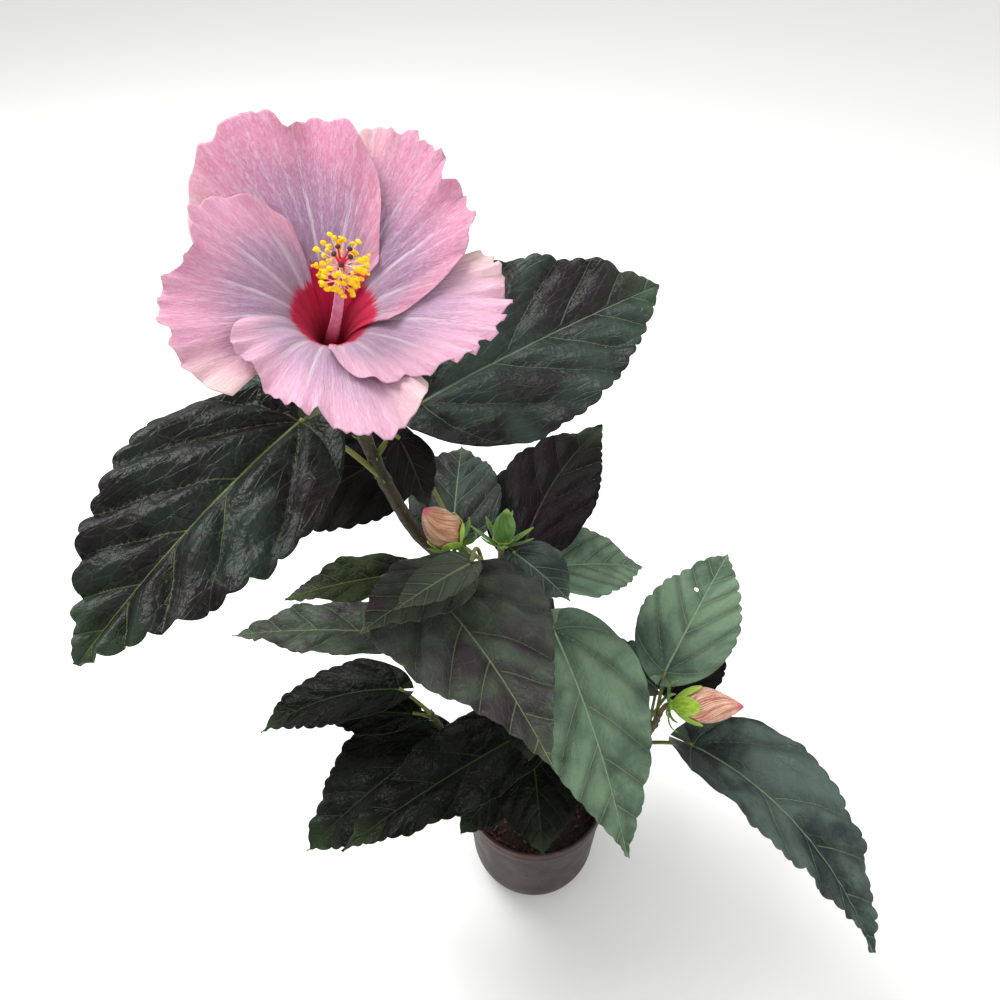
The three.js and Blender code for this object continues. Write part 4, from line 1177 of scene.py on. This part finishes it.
def cup(foot, axis, profile, wall, sides, lobe_length, spread, lobes=5):
    """A calyx cup with pointed lobes; profile is its wall's radii and heights, up to wall."""
    across = unit(np.cross(axis, (0.2, 0.9, 0.1)))
    up = np.cross(axis, across)
    profile = np.array(profile, float)
    rows = 26
    share = np.linspace(0, 1, rows)
    heights = profile[0, 1] + share * (wall - profile[0, 1])
    angle = np.arange(sides) / sides * 2 * np.pi
    s, w = np.meshgrid(share, angle, indexing="ij")
    tooth = 1 - np.abs(((w * lobes / (2 * np.pi)) % 1) * 2 - 1)
    stretch = smooth(0.3, 1, s) * lobe_length * (np.sin(tooth * np.pi / 2) ** 0.8 - 0.3)
    bulge = spread * smooth(0.5, 1, s) * tooth
    height = heights[:, None] + stretch
    size = np.interp(height, profile[:, 1], profile[:, 0]) + bulge + 0.2 * np.cos(w * lobes * 2) * s
    ring = np.cos(w)[..., None] * across + np.sin(w)[..., None] * up
    outside = foot + ring * size[..., None] + axis * height[..., None]
    inside = foot + ring * np.maximum(size - 0.7, 0.3)[..., None] + axis * (height - 0.05)[..., None]
    rings = np.vstack([outside.reshape(-1, 3), inside[::-1].reshape(-1, 3)])
    faces = [*ring_faces(2 * rows, sides), *end_faces(2 * rows, sides)]
    along = np.r_[s.ravel(), s[::-1].ravel()]
    around = np.tile(angle / (2 * np.pi), 2 * rows)
    return part(rings, faces, along=along, around=around)


def bud_skin(name, low, high, tip, vein):
    """A furled bud: soft cream to peach with fine pink veins and a blushing tip."""
    material, tree, surface = finish(name)
    along, around = field(tree, "along"), field(tree, "around")
    twisted = calc(tree, "MULTIPLY_ADD", along, 16.0, calc(tree, "MULTIPLY", around, 50.0))
    veins = noise(tree, 2.0, vector(tree, twisted, along), detail=5.0, roughness=0.6, distortion=0.6)
    mottle = noise(tree, 130.0, detail=3.0)
    body = blend(tree, fade(tree, mottle, 0.3, 0.7), colour(low), colour(high))
    body = blend(tree, fade(tree, veins, 0.47, 0.55, 0.0, 0.85), body, colour(vein))
    body = blend(tree, fade(tree, along, 0.86, 0.98, 0.0, 0.85), body, colour(tip))
    wire(tree, surface, Base_Color=body, Roughness=0.55, Normal=bump(tree, veins, 0.6, 0.6),
         Sheen_Weight=0.2)
    return material


BUD_SKINS = {
    "peach": bud_skin("bud peach", "#c6916a", "#e6bc94", "#dc4a6c", "#9c5a44"),
    "green": bud_skin("bud green", "#41701a", "#6a962c", "#8fb844", "#2f5a0f"),
    "right": bud_skin("bud pink", "#e2a88c", "#f4d2b2", "#c8405c", "#a84a4c"),
}
# How each bud is dressed: its calyx cup and lobes as shares of its length, how proud its furled
# petals stand, then its bracts: how many, their length and width, their lift and hook.
BUD_DRESS = {
    "peach": {"cup": 0.26, "lobe": 0.2, "furl": 0.14, "bracts": 6, "length": 16, "width": 4.6,
              "lift": -15, "hook": 80},
    "green": {"cup": 0.16, "lobe": 0.05, "furl": 0.03, "bracts": 7, "length": 21, "width": 5.4,
              "lift": 30, "hook": 15},
    "right": {"cup": 0.28, "lobe": 0.22, "furl": 0.14, "bracts": 7, "length": 17, "width": 4.4,
              "lift": -20, "hook": 95},
}


def make_bud(name, spec, dress, seed):
    """One bud on its stalk: petals furled in a spiral, the calyx cup, and a ring of bracts."""
    stem, at, foot, heading, rise, length, radius = spec
    foot = np.array(foot, float)
    axis = direction(float(heading), float(rise))
    steps, furl = 70, dress["furl"]
    line = evenly(np.array([foot + axis * 0.4, foot + axis * length]), steps)
    size = bud_radius(np.linspace(0.012, 0.995, steps), radius)

    def wrap(angle, share):
        lane = (angle / (2 * np.pi) * 5 + 1.3 * share) % 1
        flap = furl * (lane**1.5 - 0.4) * smooth(0.15, 0.5, share)
        ribs = 0.018 * np.cos(angle * 15 + share * 8)
        return np.interp(share, np.linspace(0, 1, steps), size) * (flap + ribs)

    bud = tube(line, size, 60, 0, relief=wrap)
    piece(f"bud_{name}_furled", [bud], [BUD_SKINS[name]], [f"bud_{name}"])

    heights = np.linspace(-2, 0.8 * length, 30)
    radii = bud_radius(np.clip(heights / length, 0.02, 1), radius) * (1 + furl / 2) + 0.9
    profile = np.stack([np.maximum(2.2, radii), heights], 1)
    parts = [cup(foot, axis, profile, dress["cup"] * length, 100, dress["lobe"] * length, 0.2)]
    across = unit(np.cross(axis, (0.2, 0.9, 0.1)))
    up = np.cross(axis, across)
    draw = np.random.default_rng(seed)
    for k in range(dress["bracts"]):
        out = spoke(across, up, (k + 0.3 * draw.random()) / dress["bracts"] * 2 * np.pi)
        reach = dress["length"] * (0.85 + 0.3 * draw.random())
        parts.append(bract(foot - axis * 1.2 + out * 1.8, out, axis, reach, dress["width"],
                           dress["lift"], dress["hook"] * (0.7 + 0.6 * draw.random()), 1))
    place, stem_line = stem_place(stem, at)
    start, end = stem_line[place], foot - axis * 1.5
    stalk = curve_through([start, (start + end) / 2 + (0, 0, 3), end], 30)
    parts.append(tube(stalk, [1.9, 1.6, 1.7, 2.4], 12, 2, relief=lambda w, _: 0.1 * np.cos(6 * w)))
    piece(f"calyx_{name}_cup", without_uv(parts), [CALYX, BRACT, BUD_STALK],
          [f"calyx_{name}"])


for number, (bud_name, bud_spec) in enumerate(BUDS.items()):
    make_bud(bud_name, bud_spec, BUD_DRESS[bud_name], 500 + number)


def make_bloom_calyx():
    """The calyx under the bloom: a ribbed cup with five points and a ring of slender bracts."""
    profile = [(3.2, -25.5), (6, -22), (8.6, -17), (9.6, -9), (10.4, -3)]
    parts = [cup(throat, bloom_axis, profile, -3, 80, 11, 1.6)]
    bracts = 9
    for k in range(bracts):
        out = spoke(bloom_right, bloom_up, k / bracts * 2 * np.pi)
        parts.append(bract(throat - bloom_axis * 24 + out * 3, out, bloom_axis, 19, 3, 25, 25, 1))
    stem_tip = np.array(STEMS["flower_branch"][0][-1], float)
    stalk = curve_through([stem_tip - (0, 0, 2), (stem_tip + throat - bloom_axis * 25) / 2,
                           throat - bloom_axis * 24.5], 16)
    parts.append(tube(stalk, [3.2, 3.0, 3.6], 16, 2))
    piece("bloom_calyx_cup", without_uv(parts), [CALYX, BRACT, BUD_STALK], ["bloom_calyx"])


make_bloom_calyx()


def make_stipules():
    """The pair of little green stipules beside the foot of each leaf stalk."""
    draw = np.random.default_rng(77)
    parts = []
    for spec in LEAVES.values():
        foot_radius, tip_radius = STEMS[spec["stem"]][1]
        at, line = stem_place(spec["stem"], spec["at"])
        at = min(at, STEM_STEPS - 2)
        ahead = unit(line[at + 1] - line[at])
        out = spec["foot"] - line[at]
        out = unit(out - ahead * out.dot(ahead))
        beside = np.cross(ahead, out)
        radius = foot_radius + (tip_radius - foot_radius) * spec["at"]
        for hand in (1, -1):
            way = unit(out * 0.5 + beside * hand)
            foot = line[at] + way * radius * 0.9
            parts.append(bract(foot, way, ahead, 3 + 2 * draw.random(), 1.3, 50, 20))
    piece("stipules", parts, [BRACT])


make_stipules()

# ---- studio ----------------------------------------------------------------------------------


def make_floor():
    """A plain pale floor, in metres."""
    mesh = bpy.data.meshes.new("floor")
    size = 4.0
    corners = [(-size, -size, 0), (size, -size, 0), (size, size, 0), (-size, size, 0)]
    mesh.from_pydata(corners, [], [(0, 1, 2, 3)])
    material, tree, surface = finish("floor paint")
    wire(tree, surface, Base_Color=colour("#fafaf8"), Roughness=0.9)
    mesh.materials.append(material)
    floor = bpy.data.objects.new("floor", mesh)
    bpy.context.scene.collection.objects.link(floor)


def make_lamp(name, place, aim, size, power):
    """A round soft lamp, in metres and watts, turned to shine at aim."""
    lamp = bpy.data.lights.new(name, "AREA")
    lamp.shape = "DISK"
    lamp.size = size
    lamp.energy = power
    made = bpy.data.objects.new(name, lamp)
    made.location = place
    way = np.array(aim, float) - np.array(place, float)
    heading = math.atan2(way[1], way[0])
    made.rotation_euler = (math.acos(-way[2] / np.linalg.norm(way)), 0, heading - math.pi / 2)
    bpy.context.scene.collection.objects.link(made)


def make_studio():
    """Even white light all round, a key lamp and a fill lamp."""
    world = bpy.data.worlds.new("studio")
    world.use_nodes = True
    light = world.node_tree.nodes["Background"].inputs
    light["Color"].default_value = (1, 1, 1, 1)
    light["Strength"].default_value = 0.75
    bpy.context.scene.world = world
    make_lamp("key", (-0.9, 0.5, 1.9), (0, 0, 0.35), 1.3, 42)
    make_lamp("fill", (1.4, -1.2, 1.4), (0, 0, 0.3), 1.6, 12)


make_floor()
make_studio()
